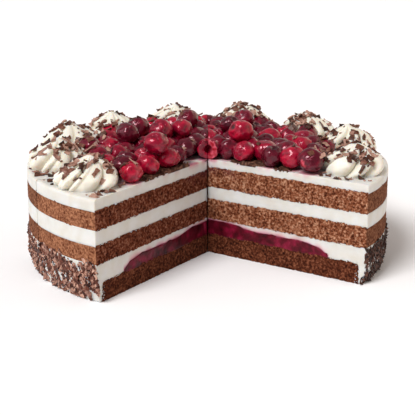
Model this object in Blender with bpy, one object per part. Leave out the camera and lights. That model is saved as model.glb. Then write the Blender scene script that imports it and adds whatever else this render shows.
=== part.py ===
"""Cherry cream torte: nine of a round layer cake's twelve portions, cut and standing together.

Run it with:  blender --background --python part.py
Lengths are metres, +Z is up, and the torte stands on z = 0.
Angles run counter-clockwise from +X about the torte's own axis.
Every solid keeps a gap of a third of a millimetre to the ones that it touches.
"""

import random
from math import atan2, cos, hypot, pi, radians, sin, sqrt

import bmesh
import bpy
from mathutils import Matrix, Vector

MM = 0.001

# ---- driving dimensions ----------------------------------------------------------------------

TORTE_RADIUS = 140 * MM
TORTE_HEIGHT = 76.5 * MM        # to the top of the cream, under the rosettes
GAP = 0.3 * MM                  # between two solids that touch
KNIFE_GAP = 1.2 * MM            # left by the knife between two groups of portions
SPIN_STEP = radians(7)          # one facet of a round side

# Each group of portions is cut from its own share of the round, where the layers are a little
# thicker or thinner. Heights are the tops of the layers, from the plate upwards.
GROUPS = {
    "right": dict(
        start=-34.5, end=90.0, portions=4,
        bottom=16.0, lower=28.0, middle=44.8, cream=54.0, top=70.8,
    ),
    "left": dict(
        start=90.0, end=206.5, portions=4,
        bottom=15.0, lower=28.2, middle=43.2, cream=53.4, top=68.4,
    ),
    "front": dict(
        start=206.5, end=236.5, portions=1,
        bottom=15.0, lower=28.2, middle=43.0, cream=53.2, top=68.2,
    ),
}

SPONGE_INSET = 0.6 * MM         # the sponge's bare edge stands back from the creams
BASE_RADIUS = 133.5 * MM        # the bottom sponge, which the cream coat wraps
BASE_ROUNDING = 5 * MM
COAT_FOOT_INSET = 3.5 * MM      # the coat draws in where it meets the plate
COAT_FOOT_HEIGHT = 11 * MM
TOP_ROUNDING = 2 * MM
ROUND_MIDDLE = 0.3              # where a rounded corner's middle lies, as a share of the rounding
FILLING_RADIUS = 108 * MM
FILLING_THICKNESS = 9 * MM
FILLING_EDGE = 1 * MM           # height of its outer edge over the bottom sponge
FILLING_RISES = (               # (share of the radius, rise over the thickness), from the axis out
    (0.00, 2.2 * MM), (0.20, 2.2 * MM), (0.37, -1.0 * MM), (0.81, -0.5 * MM), (0.95, -3.5 * MM),
)

ROSETTE_RADIUS = 23 * MM
ROSETTE_HEIGHT = 22.5 * MM
ROSETTE_RING = 115.5 * MM       # from the torte's axis to a rosette's middle
ROSETTE_LOBES = 7
ROSETTE_GROOVE = 0.2            # depth of the grooves, as a share of the radius
ROSETTE_TWIST = radians(13)     # turn of the lobes from one ring to the next
ROSETTE_RINGS = (               # (share of the height, share of the radius), from the foot up
    (0.00, 0.90), (0.17, 1.00), (0.38, 0.95), (0.57, 0.74), (0.74, 0.50), (0.88, 0.26), (1.00, 0.06),
)

HEAP_RADIUS = 97 * MM           # the outermost cherry's middle
HEAP_CORE_RADIUS = 88 * MM      # juice and chocolate under the cherries
HEAP_CORE_HEIGHT = 3.5 * MM
CHERRY_SIZES = (7.7 * MM, 9.4 * MM)     # smallest and largest radius
CHERRY_SPACING = 17.9 * MM      # rows and columns in which the cherries are strewn
CHERRY_STRAY = 2.6 * MM         # how far one strays from its place before it settles
CHERRY_CLOSE = 0.96             # closest two lie, against the sum of their radii
CHERRY_SQUASH = 0.92            # height over width
CHERRY_SIDES = 7
CHERRY_RINGS = 4
SETTLING_STEPS = 40
CHERRIES_ON_TOP = 9
TOP_HEAP_RADIUS = 66 * MM       # the second layer keeps to the middle
TOP_CLOSE = 0.93                # how close an upper cherry sits to the ones that carry it
POCKETS_TRIED = 40              # by each upper cherry, which takes the lowest of them
HALF_CUT = 0.22                 # the knife halves a cherry only this near its middle

FLAKE_LENGTHS = (5.5 * MM, 9 * MM)
FLAKE_WIDTHS = (3 * MM, 5 * MM)
FLAKE_THICKNESS = 1.3 * MM
SIDE_FLAKES_PER_PORTION = 6
SIDE_FLAKE_TOP = 25 * MM
SIDE_FLAKE_TILT = radians(9)
TOP_FLAKES_PER_PORTION = 3
TOP_FLAKE_BAND = (112 * MM, 134 * MM)   # where they lie, from the torte's axis
TOP_FLAKE_TILT = radians(14)
ROSETTE_FLAKES = 2
ROSETTE_FLAKE_SPREAD = 0.78     # how far out on a rosette they stick, as a share of its radius
ROSETTE_FLAKE_TILT = radians(20)
GOLDEN = (sqrt(5) - 1) / 2      # steps of this share spread points evenly

SEED = 41

# Colour, roughness and metallic value of each finish.
FINISHES = {
    "chocolate_sponge": ((0.085, 0.030, 0.016), 0.95, 0.0),
    "whipped_cream": ((0.86, 0.80, 0.70), 0.45, 0.0),
    "piped_cream": ((0.88, 0.81, 0.68), 0.42, 0.0),
    "cherry_filling": ((0.075, 0.004, 0.014), 0.25, 0.0),
    "sour_cherry": ((0.180, 0.006, 0.014), 0.15, 0.0),
}


# ---- scene, materials and small helpers ------------------------------------------------------

def clear_scene():
    """Remove every object of the open file."""
    for item in list(bpy.data.objects):
        bpy.data.objects.remove(item, do_unlink=True)


def new_collection(name):
    """Make a collection and link it to the scene."""
    collection = bpy.data.collections.new(name)
    bpy.context.scene.collection.children.link(collection)
    return collection


def new_material(name, finish):
    """Make a Principled material of one of the finishes."""
    colour, roughness, metallic = FINISHES[finish]
    material = bpy.data.materials.new(name)
    material.use_nodes = True
    shader = material.node_tree.nodes["Principled BSDF"]
    shader.inputs["Base Color"].default_value = (*colour, 1)
    shader.inputs["Roughness"].default_value = roughness
    shader.inputs["Metallic"].default_value = metallic
    material.diffuse_color = (*colour, 1)
    return material


def new_object(name, bm, collection):
    """Turn a bmesh into an object of a collection."""
    mesh = bpy.data.meshes.new(name)
    bm.to_mesh(mesh)
    bm.free()
    item = bpy.data.objects.new(name, mesh)
    collection.objects.link(item)
    return item


def new_empty(name, place, parent, collection):
    """Make an empty that carries other objects."""
    empty = bpy.data.objects.new(name, None)
    empty.location = place
    empty.parent = parent
    collection.objects.link(empty)
    return empty


def outward(angle):
    """Unit vector from the axis towards an angle."""
    return Vector((cos(angle), sin(angle), 0))


def across(angle):
    """Unit vector a quarter turn on from outward(angle)."""
    return Vector((-sin(angle), cos(angle), 0))


def polar(radius, angle, height):
    """Point at a radius, an angle and a height."""
    return outward(angle) * radius + Vector((0, 0, height))


# ---- making shapes ---------------------------------------------------------------------------

def spun_wedge(profile, start, end):
    """Spin an outline of (radius, height) points about Z. Its first and last place are cut faces."""
    bm = bmesh.new()
    corners = [bm.verts.new(polar(radius, start, height)) for radius, height in profile]
    face = bm.faces.new(corners)
    turn = end - start
    geometry = [face] + list(face.edges) + list(face.verts)
    steps = max(2, round(turn / SPIN_STEP))
    bmesh.ops.spin(bm, geom=geometry, cent=(0, 0, 0), axis=(0, 0, 1), angle=turn, steps=steps)
    bmesh.ops.remove_doubles(bm, verts=bm.verts, dist=0.01 * MM)
    bmesh.ops.recalc_face_normals(bm, faces=bm.faces)
    return bm


def cut_away(bm, normal):
    """Cut a closed shape by the upright plane through the axis, and drop the side along normal."""
    geometry = list(bm.verts) + list(bm.edges) + list(bm.faces)
    bmesh.ops.bisect_plane(
        bm, geom=geometry, dist=0.001 * MM, plane_co=(0, 0, 0), plane_no=normal, clear_outer=True
    )
    rim = [edge for edge in bm.edges if edge.is_boundary]
    if rim:
        bmesh.ops.edgeloop_fill(bm, edges=rim)
        bmesh.ops.recalc_face_normals(bm, faces=bm.faces)


def shells(bm):
    """List the groups of connected faces."""
    left = set(bm.faces)
    found = []
    while left:
        seed = left.pop()
        shell = [seed]
        for face in shell:
            for edge in face.edges:
                for other in edge.link_faces:
                    if other in left:
                        left.remove(other)
                        shell.append(other)
        found.append(shell)
    return found


def keep_largest_shell(mesh):
    """Fill hollows that fusing has sealed and drop loose scraps."""
    bm = bmesh.new()
    bm.from_mesh(mesh)
    bmesh.ops.remove_doubles(bm, verts=bm.verts, dist=0.01 * MM)
    found = sorted(shells(bm), key=len, reverse=True)
    for shell in found[1:]:
        bmesh.ops.delete(bm, geom=shell, context="FACES")
    bmesh.ops.triangulate(bm, faces=bm.faces)
    bm.to_mesh(mesh)
    bm.free()


def fuse(target, pieces):
    """Join a collection of pieces to the target by one Boolean union, and remove the pieces."""
    union = target.modifiers.new("fused_pieces", "BOOLEAN")
    union.operation = "UNION"
    union.operand_type = "COLLECTION"
    union.collection = pieces
    union.solver = "EXACT"
    bpy.context.view_layer.update()
    evaluated = target.evaluated_get(bpy.context.evaluated_depsgraph_get())
    mesh = bpy.data.meshes.new_from_object(evaluated)
    target.modifiers.clear()
    target.data = mesh
    for item in list(pieces.objects):
        bpy.data.objects.remove(item, do_unlink=True)
    bpy.data.collections.remove(pieces)
    keep_largest_shell(mesh)


# ---- layers ----------------------------------------------------------------------------------

def slab(low, high, radius):
    """Outline of a plain layer between two heights."""
    return [(0, low), (radius, low), (radius, high), (0, high)]


def filling_top(bottom):
    """Upper edge of the cherry filling, from the axis out: thick in the middle, domed outside."""
    level = bottom + FILLING_THICKNESS
    crown = [(FILLING_RADIUS * share, level + rise) for share, rise in FILLING_RISES]
    return crown + [(FILLING_RADIUS, bottom + FILLING_EDGE)]


def filling_outline(bottom):
    """The filling lies on the bottom sponge, GAP above it."""
    low = bottom + GAP
    return [(0, low), (FILLING_RADIUS, low)] + filling_top(bottom)[::-1]


def bottom_sponge_outline(bottom):
    """The bottom sponge, with its upper edge rounded."""
    corner = BASE_ROUNDING * ROUND_MIDDLE
    return [
        (0, 0),
        (BASE_RADIUS, 0),
        (BASE_RADIUS, bottom - BASE_ROUNDING),
        (BASE_RADIUS - corner, bottom - corner),
        (BASE_RADIUS - BASE_ROUNDING, bottom),
        (0, bottom),
    ]


def coat_outline(bottom, lower):
    """The lower cream: over the filling, down on to the sponge's rim, and round it to the plate."""
    over_filling = [(radius, height + GAP) for radius, height in filling_top(bottom)[:-1]]
    inside = BASE_RADIUS + GAP
    corner = BASE_ROUNDING * ROUND_MIDDLE
    return over_filling + [
        (FILLING_RADIUS + GAP, bottom + FILLING_EDGE + GAP),
        (FILLING_RADIUS + GAP, bottom + GAP),
        (BASE_RADIUS - BASE_ROUNDING + GAP / 2, bottom + GAP),
        (inside - corner, bottom - corner + GAP),
        (inside, bottom - BASE_ROUNDING + GAP / 2),
        (inside, 0),
        (TORTE_RADIUS - COAT_FOOT_INSET, 0),
        (TORTE_RADIUS, COAT_FOOT_HEIGHT),
        (TORTE_RADIUS, lower),
        (0, lower),
    ]


def top_cream_outline(low):
    """The top cream, with its upper edge rounded."""
    corner = TOP_ROUNDING * ROUND_MIDDLE
    return [
        (0, low),
        (TORTE_RADIUS, low),
        (TORTE_RADIUS, TORTE_HEIGHT - TOP_ROUNDING),
        (TORTE_RADIUS - corner, TORTE_HEIGHT - corner),
        (TORTE_RADIUS - TOP_ROUNDING, TORTE_HEIGHT),
        (0, TORTE_HEIGHT),
    ]


def layer_outlines(group):
    """Every layer of a group: its name, its finish and its outline."""
    bottom, lower, middle, cream, top = [
        group[key] * MM for key in ("bottom", "lower", "middle", "cream", "top")
    ]
    sponge_radius = TORTE_RADIUS - SPONGE_INSET
    return [
        ("sponge_bottom", "chocolate_sponge", bottom_sponge_outline(bottom)),
        ("cherry_filling", "cherry_filling", filling_outline(bottom)),
        ("cream_lower", "whipped_cream", coat_outline(bottom, lower)),
        ("sponge_middle", "chocolate_sponge", slab(lower + GAP, middle, sponge_radius)),
        ("cream_middle", "whipped_cream", slab(middle + GAP, cream, TORTE_RADIUS)),
        ("sponge_top", "chocolate_sponge", slab(cream + GAP, top, sponge_radius)),
        ("cream_top", "whipped_cream", top_cream_outline(top + GAP)),
    ]


# ---- chocolate flakes ------------------------------------------------------------------------

def add_flake(pieces, place, facing, draw, tilt):
    """Add one flat chip of chocolate whose flat side looks along facing, give or take a tilt."""
    bm = bmesh.new()
    bmesh.ops.create_cube(bm, size=1)
    size = Vector((draw.uniform(*FLAKE_LENGTHS), draw.uniform(*FLAKE_WIDTHS), FLAKE_THICKNESS))
    bmesh.ops.scale(bm, vec=size, verts=bm.verts)
    lean_x = Matrix.Rotation(draw.uniform(-tilt, tilt), 4, "X")
    lean_y = Matrix.Rotation(draw.uniform(-tilt, tilt), 4, "Y")
    spin = Matrix.Rotation(draw.uniform(0, pi), 4, "Z")
    face_out = facing.to_track_quat("Z", "Y").to_matrix().to_4x4()
    turn = face_out @ lean_x @ lean_y @ spin
    bmesh.ops.transform(bm, matrix=Matrix.Translation(place) @ turn, verts=bm.verts)
    new_object("flake", bm, pieces)


def side_flakes(group, draw):
    """The largest shavings on the coat, spread evenly over its lower side."""
    pieces = new_collection("side_flakes")
    start, end = radians(group["start"]), radians(group["end"])
    margin = FLAKE_LENGTHS[1] / 2 / TORTE_RADIUS
    count = SIDE_FLAKES_PER_PORTION * group["portions"]
    for number in range(count):
        angle = start + margin + (end - start - 2 * margin) * (number + 0.5) / count
        share = number * GOLDEN % 1
        low = FLAKE_LENGTHS[1] / 2 + GAP
        height = low + (SIDE_FLAKE_TOP - low) * share
        foot = max(0, 1 - height / COAT_FOOT_HEIGHT)
        radius = TORTE_RADIUS - COAT_FOOT_INSET * foot - GAP / 2
        add_flake(pieces, polar(radius, angle, height), outward(angle), draw, SIDE_FLAKE_TILT)
    return pieces


def top_flakes(group, rosettes, draw):
    """Shavings that lie on the top cream, between and outside the rosettes."""
    pieces = new_collection("top_flakes")
    start, end = radians(group["start"]), radians(group["end"])
    half = FLAKE_LENGTHS[1] / 2
    wanted = TOP_FLAKES_PER_PORTION * group["portions"]
    while len(pieces.objects) < wanted:
        radius = draw.uniform(*TOP_FLAKE_BAND)
        margin = (half + GAP) / radius
        angle = draw.uniform(start + margin, end - margin)
        place = polar(radius, angle, TORTE_HEIGHT + FLAKE_THICKNESS / 3)
        clear = all(
            hypot(place.x - spot.x, place.y - spot.y) > reach + half + GAP for spot, reach in rosettes
        )
        if clear:
            add_flake(pieces, place, Vector((0, 0, 1)), draw, TOP_FLAKE_TILT)
    return pieces


# ---- rosettes --------------------------------------------------------------------------------

def rosette_places(group, draw):
    """Middle and radius of the rosette on each portion of a group."""
    start, end = radians(group["start"]), radians(group["end"])
    places = []
    for portion in range(group["portions"]):
        angle = start + (end - start) * (portion + 0.5) / group["portions"]
        radius = ROSETTE_RADIUS * draw.uniform(0.97, 1.03)
        places.append((polar(ROSETTE_RING, angle, TORTE_HEIGHT + GAP), radius))
    return places


def piped_rosette(radius, height, turn):
    """A star of cream, extruded upwards ring by ring with a twist, and closed to a peak."""
    bm = bmesh.new()
    bmesh.ops.create_circle(bm, cap_ends=True, segments=ROSETTE_LOBES * 4, radius=radius)
    for vert in bm.verts:
        angle = atan2(vert.co.y, vert.co.x)
        vert.co *= 1 - ROSETTE_GROOVE * (0.5 - 0.5 * cos(ROSETTE_LOBES * angle))
    bmesh.ops.rotate(bm, verts=bm.verts, cent=(0, 0, 0), matrix=Matrix.Rotation(turn, 3, "Z"))
    last_level, last_spread = ROSETTE_RINGS[0]
    bmesh.ops.scale(bm, vec=(last_spread, last_spread, 1), verts=bm.verts)
    top = list(bm.faces)[0]
    for level, spread in ROSETTE_RINGS[1:]:
        grown = bmesh.ops.extrude_face_region(bm, geom=[top])["geom"]
        if last_level > 0:
            bmesh.ops.delete(bm, geom=[top], context="FACES_ONLY")
        top = [item for item in grown if isinstance(item, bmesh.types.BMFace)][0]
        verts = list(top.verts)
        share = spread / last_spread
        bmesh.ops.translate(bm, vec=(0, 0, (level - last_level) * height), verts=verts)
        bmesh.ops.scale(bm, vec=(share, share, 1), verts=verts)
        bmesh.ops.rotate(bm, verts=verts, cent=(0, 0, 0), matrix=Matrix.Rotation(ROSETTE_TWIST, 3, "Z"))
        last_level, last_spread = level, spread
    bmesh.ops.recalc_face_normals(bm, faces=bm.faces)
    return bm


def rosette_flakes(radius, height, draw):
    """Shavings that stick in the upper half of a rosette."""
    pieces = new_collection("rosette_flakes")
    levels = ROSETTE_RINGS[2:-1]
    for number in range(ROSETTE_FLAKES):
        level, spread = levels[number % len(levels)]
        angle = 2 * pi * (number * GOLDEN + draw.uniform(-0.06, 0.06))
        facing = outward(angle) * 0.6 + Vector((0, 0, 0.8))
        place = polar(radius * spread * ROSETTE_FLAKE_SPREAD, angle, height * level + FLAKE_THICKNESS / 3)
        add_flake(pieces, place, facing, draw, ROSETTE_FLAKE_TILT)
    return pieces


# ---- cherries --------------------------------------------------------------------------------

def cut_planes():
    """Angles of the knife's cuts."""
    return sorted({radians(group[key]) for group in GROUPS.values() for key in ("start", "end")})


def cut_distance(place, angle):
    """Distance of a point to a cut, or None where it lies on the cut's far side of the axis."""
    if place.dot(outward(angle)) < 0:
        return None
    return place.dot(across(angle))


def strewn_cherries(draw):
    """Cherries in loose rows over the round, each strayed a little from its place."""
    cherries = []
    row_pitch = CHERRY_SPACING * sqrt(3) / 2
    rows = int(HEAP_RADIUS / row_pitch) + 1
    for row in range(-rows, rows + 1):
        for column in range(-rows, rows + 1):
            x = (column + row % 2 / 2) * CHERRY_SPACING + draw.uniform(-CHERRY_STRAY, CHERRY_STRAY)
            y = row * row_pitch + draw.uniform(-CHERRY_STRAY, CHERRY_STRAY)
            radius = draw.uniform(*CHERRY_SIZES)
            if hypot(x, y) < HEAP_RADIUS:
                height = TORTE_HEIGHT + 1.3 * GAP + radius * CHERRY_SQUASH
                cherries.append((Vector((x, y, height)), radius))
    return cherries


def push_apart(cherries):
    """Move every two cherries that crowd each other half of their overlap apart."""
    for number, (spot, radius) in enumerate(cherries):
        for other, size in cherries[:number]:
            between = Vector((spot.x - other.x, spot.y - other.y, 0))
            crowding = CHERRY_CLOSE * (radius + size) - between.length
            if crowding > 0:
                step = between.normalized() * crowding / 2
                spot += step
                other -= step


def push_off_rosettes(cherries, rosettes):
    """Move cherries inwards, clear of the rosettes."""
    for spot, radius in cherries:
        for middle, reach in rosettes:
            between = Vector((spot.x - middle.x, spot.y - middle.y, 0))
            crowding = radius + reach + 2 * GAP - between.length
            if crowding > 0:
                spot += between.normalized() * crowding


def push_off_cuts(cherries, halved):
    """Move cherries off the knife's cuts, but leave those that it halves."""
    for number, (spot, radius) in enumerate(cherries):
        for angle in cut_planes():
            distance = cut_distance(spot, angle)
            if distance is None or abs(distance) > radius or number in halved:
                continue
            side = 1 if distance > 0 else -1
            spot += across(angle) * (side * (radius + GAP / 10) - distance)


def halved_cherries(cherries):
    """Numbers of the cherries that lie with their middle on a cut."""
    return {
        number
        for number, (spot, radius) in enumerate(cherries)
        for angle in cut_planes()
        if (distance := cut_distance(spot, angle)) is not None and abs(distance) < radius * HALF_CUT
    }


def lower_cherries(rosettes, draw):
    """Cherries that lie on the cream: strewn over the round, cut, and settled side by side."""
    cherries = strewn_cherries(draw)
    halved = halved_cherries(cherries)
    for _ in range(SETTLING_STEPS):
        push_apart(cherries)
        push_off_cuts(cherries, halved)
        push_off_rosettes(cherries, rosettes)
    return cherries


def resting_height(spot, radius, cherries):
    """Height at which a cherry comes to rest on the ones below it."""
    height = 0
    for other, size in cherries:
        reach = (radius + size) * TOP_CLOSE
        apart = hypot(spot.x - other.x, spot.y - other.y)
        if apart < reach:
            height = max(height, other.z + sqrt(reach**2 - apart**2) * CHERRY_SQUASH)
    return height


def upper_cherries(lower, draw):
    """Cherries of a second layer. Each rolls into the lowest of a few pockets."""
    cherries = []
    first, last = radians(GROUPS["right"]["start"]), radians(GROUPS["front"]["end"])
    for _ in range(CHERRIES_ON_TOP):
        radius = draw.uniform(*CHERRY_SIZES)
        best = None
        for _ in range(POCKETS_TRIED):
            spot = polar(TOP_HEAP_RADIUS * sqrt(draw.random()), draw.uniform(first, last), 0)
            near_cut = any(
                distance is not None and abs(distance) < radius + GAP
                for distance in (cut_distance(spot, angle) for angle in cut_planes())
            )
            spot.z = resting_height(spot, radius, lower + cherries)
            lies_on_others = spot.z > TORTE_HEIGHT + 2 * radius
            if lies_on_others and not near_cut and (best is None or spot.z < best.z):
                best = spot
        if best is not None:
            cherries.append((best, radius))
    return cherries


def add_cherry(pieces, spot, radius, group, draw):
    """Add the share of one cherry that lies in a group, if any does."""
    turn = Matrix.Rotation(draw.uniform(0, pi), 4, "Z")
    squash = Matrix.Diagonal((1, 1, CHERRY_SQUASH, 1))
    bm = bmesh.new()
    bmesh.ops.create_uvsphere(bm, u_segments=CHERRY_SIDES, v_segments=CHERRY_RINGS, radius=radius)
    bmesh.ops.transform(bm, matrix=Matrix.Translation(spot) @ turn @ squash, verts=bm.verts)
    for key, side in (("start", -1), ("end", 1)):
        outside = across(radians(group[key])) * side
        if spot.dot(outside) > -radius:
            cut_away(bm, outside)
    new_object("cherry", bm, pieces)


def in_group(spot, radius, group):
    """True where a cherry lies in a group, or the knife shares it between the group and another."""
    start, end = radians(group["start"]), radians(group["end"])
    angle = start + (atan2(spot.y, spot.x) - start) % (2 * pi)
    if angle < end:
        return True
    return any(
        distance is not None and abs(distance) < radius * HALF_CUT
        for distance in (cut_distance(spot, start), cut_distance(spot, end))
    )


def heap_core(group):
    """The low bed of juice and chocolate that the cherries lie in."""
    low = TORTE_HEIGHT + GAP
    outline = [
        (0, low),
        (HEAP_CORE_RADIUS, low),
        (HEAP_CORE_RADIUS - HEAP_CORE_HEIGHT, low + HEAP_CORE_HEIGHT),
        (0, low + HEAP_CORE_HEIGHT),
    ]
    return spun_wedge(outline, radians(group["start"]), radians(group["end"]))


def cherry_pieces(group, cherries, draw):
    """The cherries of one group, as loose pieces."""
    pieces = new_collection("cherries")
    for spot, radius in cherries:
        if in_group(spot, radius, group):
            add_cherry(pieces, spot, radius, group, draw)
    return pieces


# ---- the torte -------------------------------------------------------------------------------

def group_offsets():
    """How far each group stands from the torte's axis, so that the knife's gaps open."""
    right = Vector((KNIFE_GAP / 2, 0, 0))
    left = -right
    front = left + across(radians(GROUPS["front"]["start"])) * KNIFE_GAP * 0.75
    return {"right": right, "left": left, "front": front}


def centre_shift(offsets):
    """Moves the torte so that the middle of its bounding box lies over the origin."""
    corner = polar(TORTE_RADIUS, radians(GROUPS["front"]["end"]), 0) + offsets["front"]
    return Vector((0, -(TORTE_RADIUS + corner.y) / 2, 0))


def finish(item, finish_name, parent):
    """Give a node its material and its place under the group's empty."""
    item.data.materials.clear()
    item.data.materials.append(new_material(item.name, finish_name))
    item.parent = parent


def build_layers(name, group, rosettes, parent, collection, draw):
    """All layers of one group, with the shavings that stick to the creams."""
    start, end = radians(group["start"]), radians(group["end"])
    for layer, finish_name, outline in layer_outlines(group):
        item = new_object(f"{name}_{layer}", spun_wedge(outline, start, end), collection)
        if layer == "cream_lower":
            fuse(item, side_flakes(group, draw))
        if layer == "cream_top":
            fuse(item, top_flakes(group, rosettes, draw))
        finish(item, finish_name, parent)


def build_rosettes(name, rosettes, parent, collection, draw):
    """One piped rosette on each portion."""
    for number, (place, radius) in enumerate(rosettes, start=1):
        height = ROSETTE_HEIGHT * draw.uniform(0.95, 1.04)
        shape = piped_rosette(radius, height, draw.uniform(0, 2 * pi))
        item = new_object(f"{name}_rosette_{number}", shape, collection)
        fuse(item, rosette_flakes(radius, height, draw))
        item.location = place
        finish(item, "piped_cream", parent)


def build_torte():
    """Model every node of the torte."""
    collection = new_collection("cherry_cream_torte")
    offsets = group_offsets()
    centre = new_empty("torte_centre", centre_shift(offsets), None, collection)
    draw = random.Random(SEED)
    rosettes = {name: rosette_places(group, draw) for name, group in GROUPS.items()}
    every_rosette = [rosette for places in rosettes.values() for rosette in places]
    lower = lower_cherries(every_rosette, random.Random(SEED + 1))
    cherries = lower + upper_cherries(lower, random.Random(SEED + 2))
    for name, group in GROUPS.items():
        parent = new_empty(f"{name}_group", offsets[name], centre, collection)
        build_layers(name, group, rosettes[name], parent, collection, draw)
        build_rosettes(name, rosettes[name], parent, collection, draw)
        heap = new_object(f"{name}_cherries", heap_core(group), collection)
        fuse(heap, cherry_pieces(group, cherries, draw))
        finish(heap, "sour_cherry", parent)


clear_scene()
build_torte()
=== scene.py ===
# %% [markdown]
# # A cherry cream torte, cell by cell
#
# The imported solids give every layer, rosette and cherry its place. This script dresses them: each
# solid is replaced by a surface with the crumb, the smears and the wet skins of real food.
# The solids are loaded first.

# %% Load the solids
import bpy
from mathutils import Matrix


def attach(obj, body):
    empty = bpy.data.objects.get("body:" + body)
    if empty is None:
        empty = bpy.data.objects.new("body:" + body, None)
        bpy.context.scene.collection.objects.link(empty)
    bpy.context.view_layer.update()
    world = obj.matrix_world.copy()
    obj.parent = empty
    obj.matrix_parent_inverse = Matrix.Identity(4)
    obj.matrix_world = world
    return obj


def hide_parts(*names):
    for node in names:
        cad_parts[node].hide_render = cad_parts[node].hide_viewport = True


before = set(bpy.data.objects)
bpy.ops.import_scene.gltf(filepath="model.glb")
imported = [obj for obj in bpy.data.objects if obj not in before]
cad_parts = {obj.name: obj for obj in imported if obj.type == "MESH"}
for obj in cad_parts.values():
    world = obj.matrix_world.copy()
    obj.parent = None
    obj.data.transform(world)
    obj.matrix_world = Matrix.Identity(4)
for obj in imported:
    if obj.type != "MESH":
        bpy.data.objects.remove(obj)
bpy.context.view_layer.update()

print("solids:", len(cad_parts), "nodes")

# %% Libraries
import random
from math import atan2, cos, hypot, pi, radians, sin, sqrt

import bpy
import numpy as np
from mathutils import Matrix, Vector

# %% [markdown]
# ## Sizes
#
# The torte was baked in a ring of 28 cm and cut into twelve portions, of which nine are left in
# three groups. The same sizes made the solids. Angles run counter-clockwise from +X about the
# torte's axis, and each group's heights are the tops of its layers, in millimetres.

# %% Sizes shared with the solids
MM = 0.001
TORTE_RADIUS = 140 * MM
TORTE_HEIGHT = 76.5 * MM
GAP = 0.3 * MM
KNIFE_GAP = 1.2 * MM
FRONT_GAP_SHARE = 0.75          # the front portion's gap, over the knife's
BASE_RADIUS = 133.5 * MM
BASE_ROUNDING = 5 * MM
COAT_FOOT_INSET = 3.5 * MM
COAT_FOOT_HEIGHT = 11 * MM
TOP_ROUNDING = 2 * MM
FILLING_RADIUS = 108 * MM
FILLING_THICKNESS = 9 * MM
FILLING_SHARES = (0.00, 0.20, 0.37, 0.81, 0.95, 1.00)
FILLING_RISES = (2.2, 2.2, -1.0, -0.5, -3.5, -8.0)      # over the thickness, in millimetres

GROUPS = {
    "right": dict(
        start=-34.5, end=90.0, portions=4,
        bottom=16.0, lower=28.0, middle=44.8, cream=54.0, top=70.8,
    ),
    "left": dict(
        start=90.0, end=206.5, portions=4,
        bottom=15.0, lower=28.2, middle=43.2, cream=53.4, top=68.4,
    ),
    "front": dict(
        start=206.5, end=236.5, portions=1,
        bottom=15.0, lower=28.2, middle=43.0, cream=53.2, top=68.2,
    ),
}
SPANS = {name: (radians(group["start"]), radians(group["end"])) for name, group in GROUPS.items()}
EVERY_CUT = [angle for span in SPANS.values() for angle in span]
CUTS = sorted(set(EVERY_CUT))


def heading(angle):
    """Level unit vectors from the axis towards angles: cosine, sine, nought."""
    return np.stack([np.cos(angle), np.sin(angle), np.zeros_like(angle)], axis=-1)


def sideways(angle):
    """Level unit vectors a quarter turn on from heading(angle)."""
    return np.stack([-np.sin(angle), np.cos(angle), np.zeros_like(angle)], axis=-1)


half_gap = np.array([KNIFE_GAP / 2, 0, 0])
front_gap = sideways(SPANS["front"][0]) * KNIFE_GAP * FRONT_GAP_SHARE - half_gap
lowest_corner = heading(SPANS["front"][1]) * TORTE_RADIUS + front_gap
centring = np.array([0, -(TORTE_RADIUS + lowest_corner[1]) / 2, 0])
PLACES = {"right": half_gap + centring, "left": centring - half_gap, "front": centring + front_gap}
print("the torte's axis stands at y =", round(centring[1] / MM, 2), "mm")

# %% [markdown]
# ## Camera, floor and light
#
# The camera comes first, so that every later step can be judged. It looks 16 degrees down into
# the missing quarter through a long lens. A long lens flattens perspective, as product pictures
# do. The floor is wide enough to fill the view, so it is the backdrop as well.
# A soft sun from the front left stands for a studio softbox, and the room fills the shade. The
# room is grey all round, white towards a window on the left, and warm on the far right.

# %% Camera
CAMERA_DISTANCE = 900 * MM
CAMERA_TILT = radians(16.2)
CAMERA_LENS = 98.28
AIM = Vector((0, centring[1], 37 * MM))

camera_data = bpy.data.cameras.new("camera")
camera_data.lens = CAMERA_LENS
camera_data.sensor_width = 36
camera_data.clip_end = 50
camera = bpy.data.objects.new("camera", camera_data)
camera.location = AIM + Vector((0, -cos(CAMERA_TILT), sin(CAMERA_TILT))) * CAMERA_DISTANCE
camera.rotation_euler = (AIM - camera.location).to_track_quat("-Z", "Y").to_euler()
bpy.context.scene.collection.objects.link(camera)
bpy.context.scene.camera = camera
print("camera at", [round(value, 4) for value in camera.location])


# %% Colours and nodes
def linear(hex_colour):
    """Turn an sRGB hex colour to linear light: x/12.92 in the dark, ((x+0.055)/1.055)^2.4 above."""
    parts = [int(hex_colour[at:at + 2], 16) / 255 for at in (1, 3, 5)]
    return (*[part / 12.92 if part < 0.04045 else ((part + 0.055) / 1.055) ** 2.4 for part in parts], 1)


# A Mix node blends numbers at its inputs 2 and 3 into output 0, and colours at 6 and 7 into output 2.
MIX_COLOURS = dict(out=2, data_type="RGBA")
MULTIPLY_COLOURS = dict(MIX_COLOURS, blend_type="MULTIPLY")


def put(tree, kind, inputs=None, stops=None, out=0, **settings):
    """Add a node with its settings and links, and return the output that is used of it.

    An input takes a value, or the output that feeds it. Stops are the colours of a ramp.
    """
    made = tree.nodes.new("ShaderNode" + kind)
    for name, value in settings.items():
        setattr(made, name, value)
    for name, value in (inputs or {}).items():
        if isinstance(value, bpy.types.NodeSocket):
            tree.links.new(value, made.inputs[name])
        else:
            made.inputs[name].default_value = value
    if stops:
        points = made.color_ramp.elements
        while len(points) < len(stops):
            points.new(1)
        for point, (position, value) in zip(points, stops):
            point.position = position
            point.color = linear(value) if isinstance(value, str) else (value, value, value, 1)
    return made.outputs[out]


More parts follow.
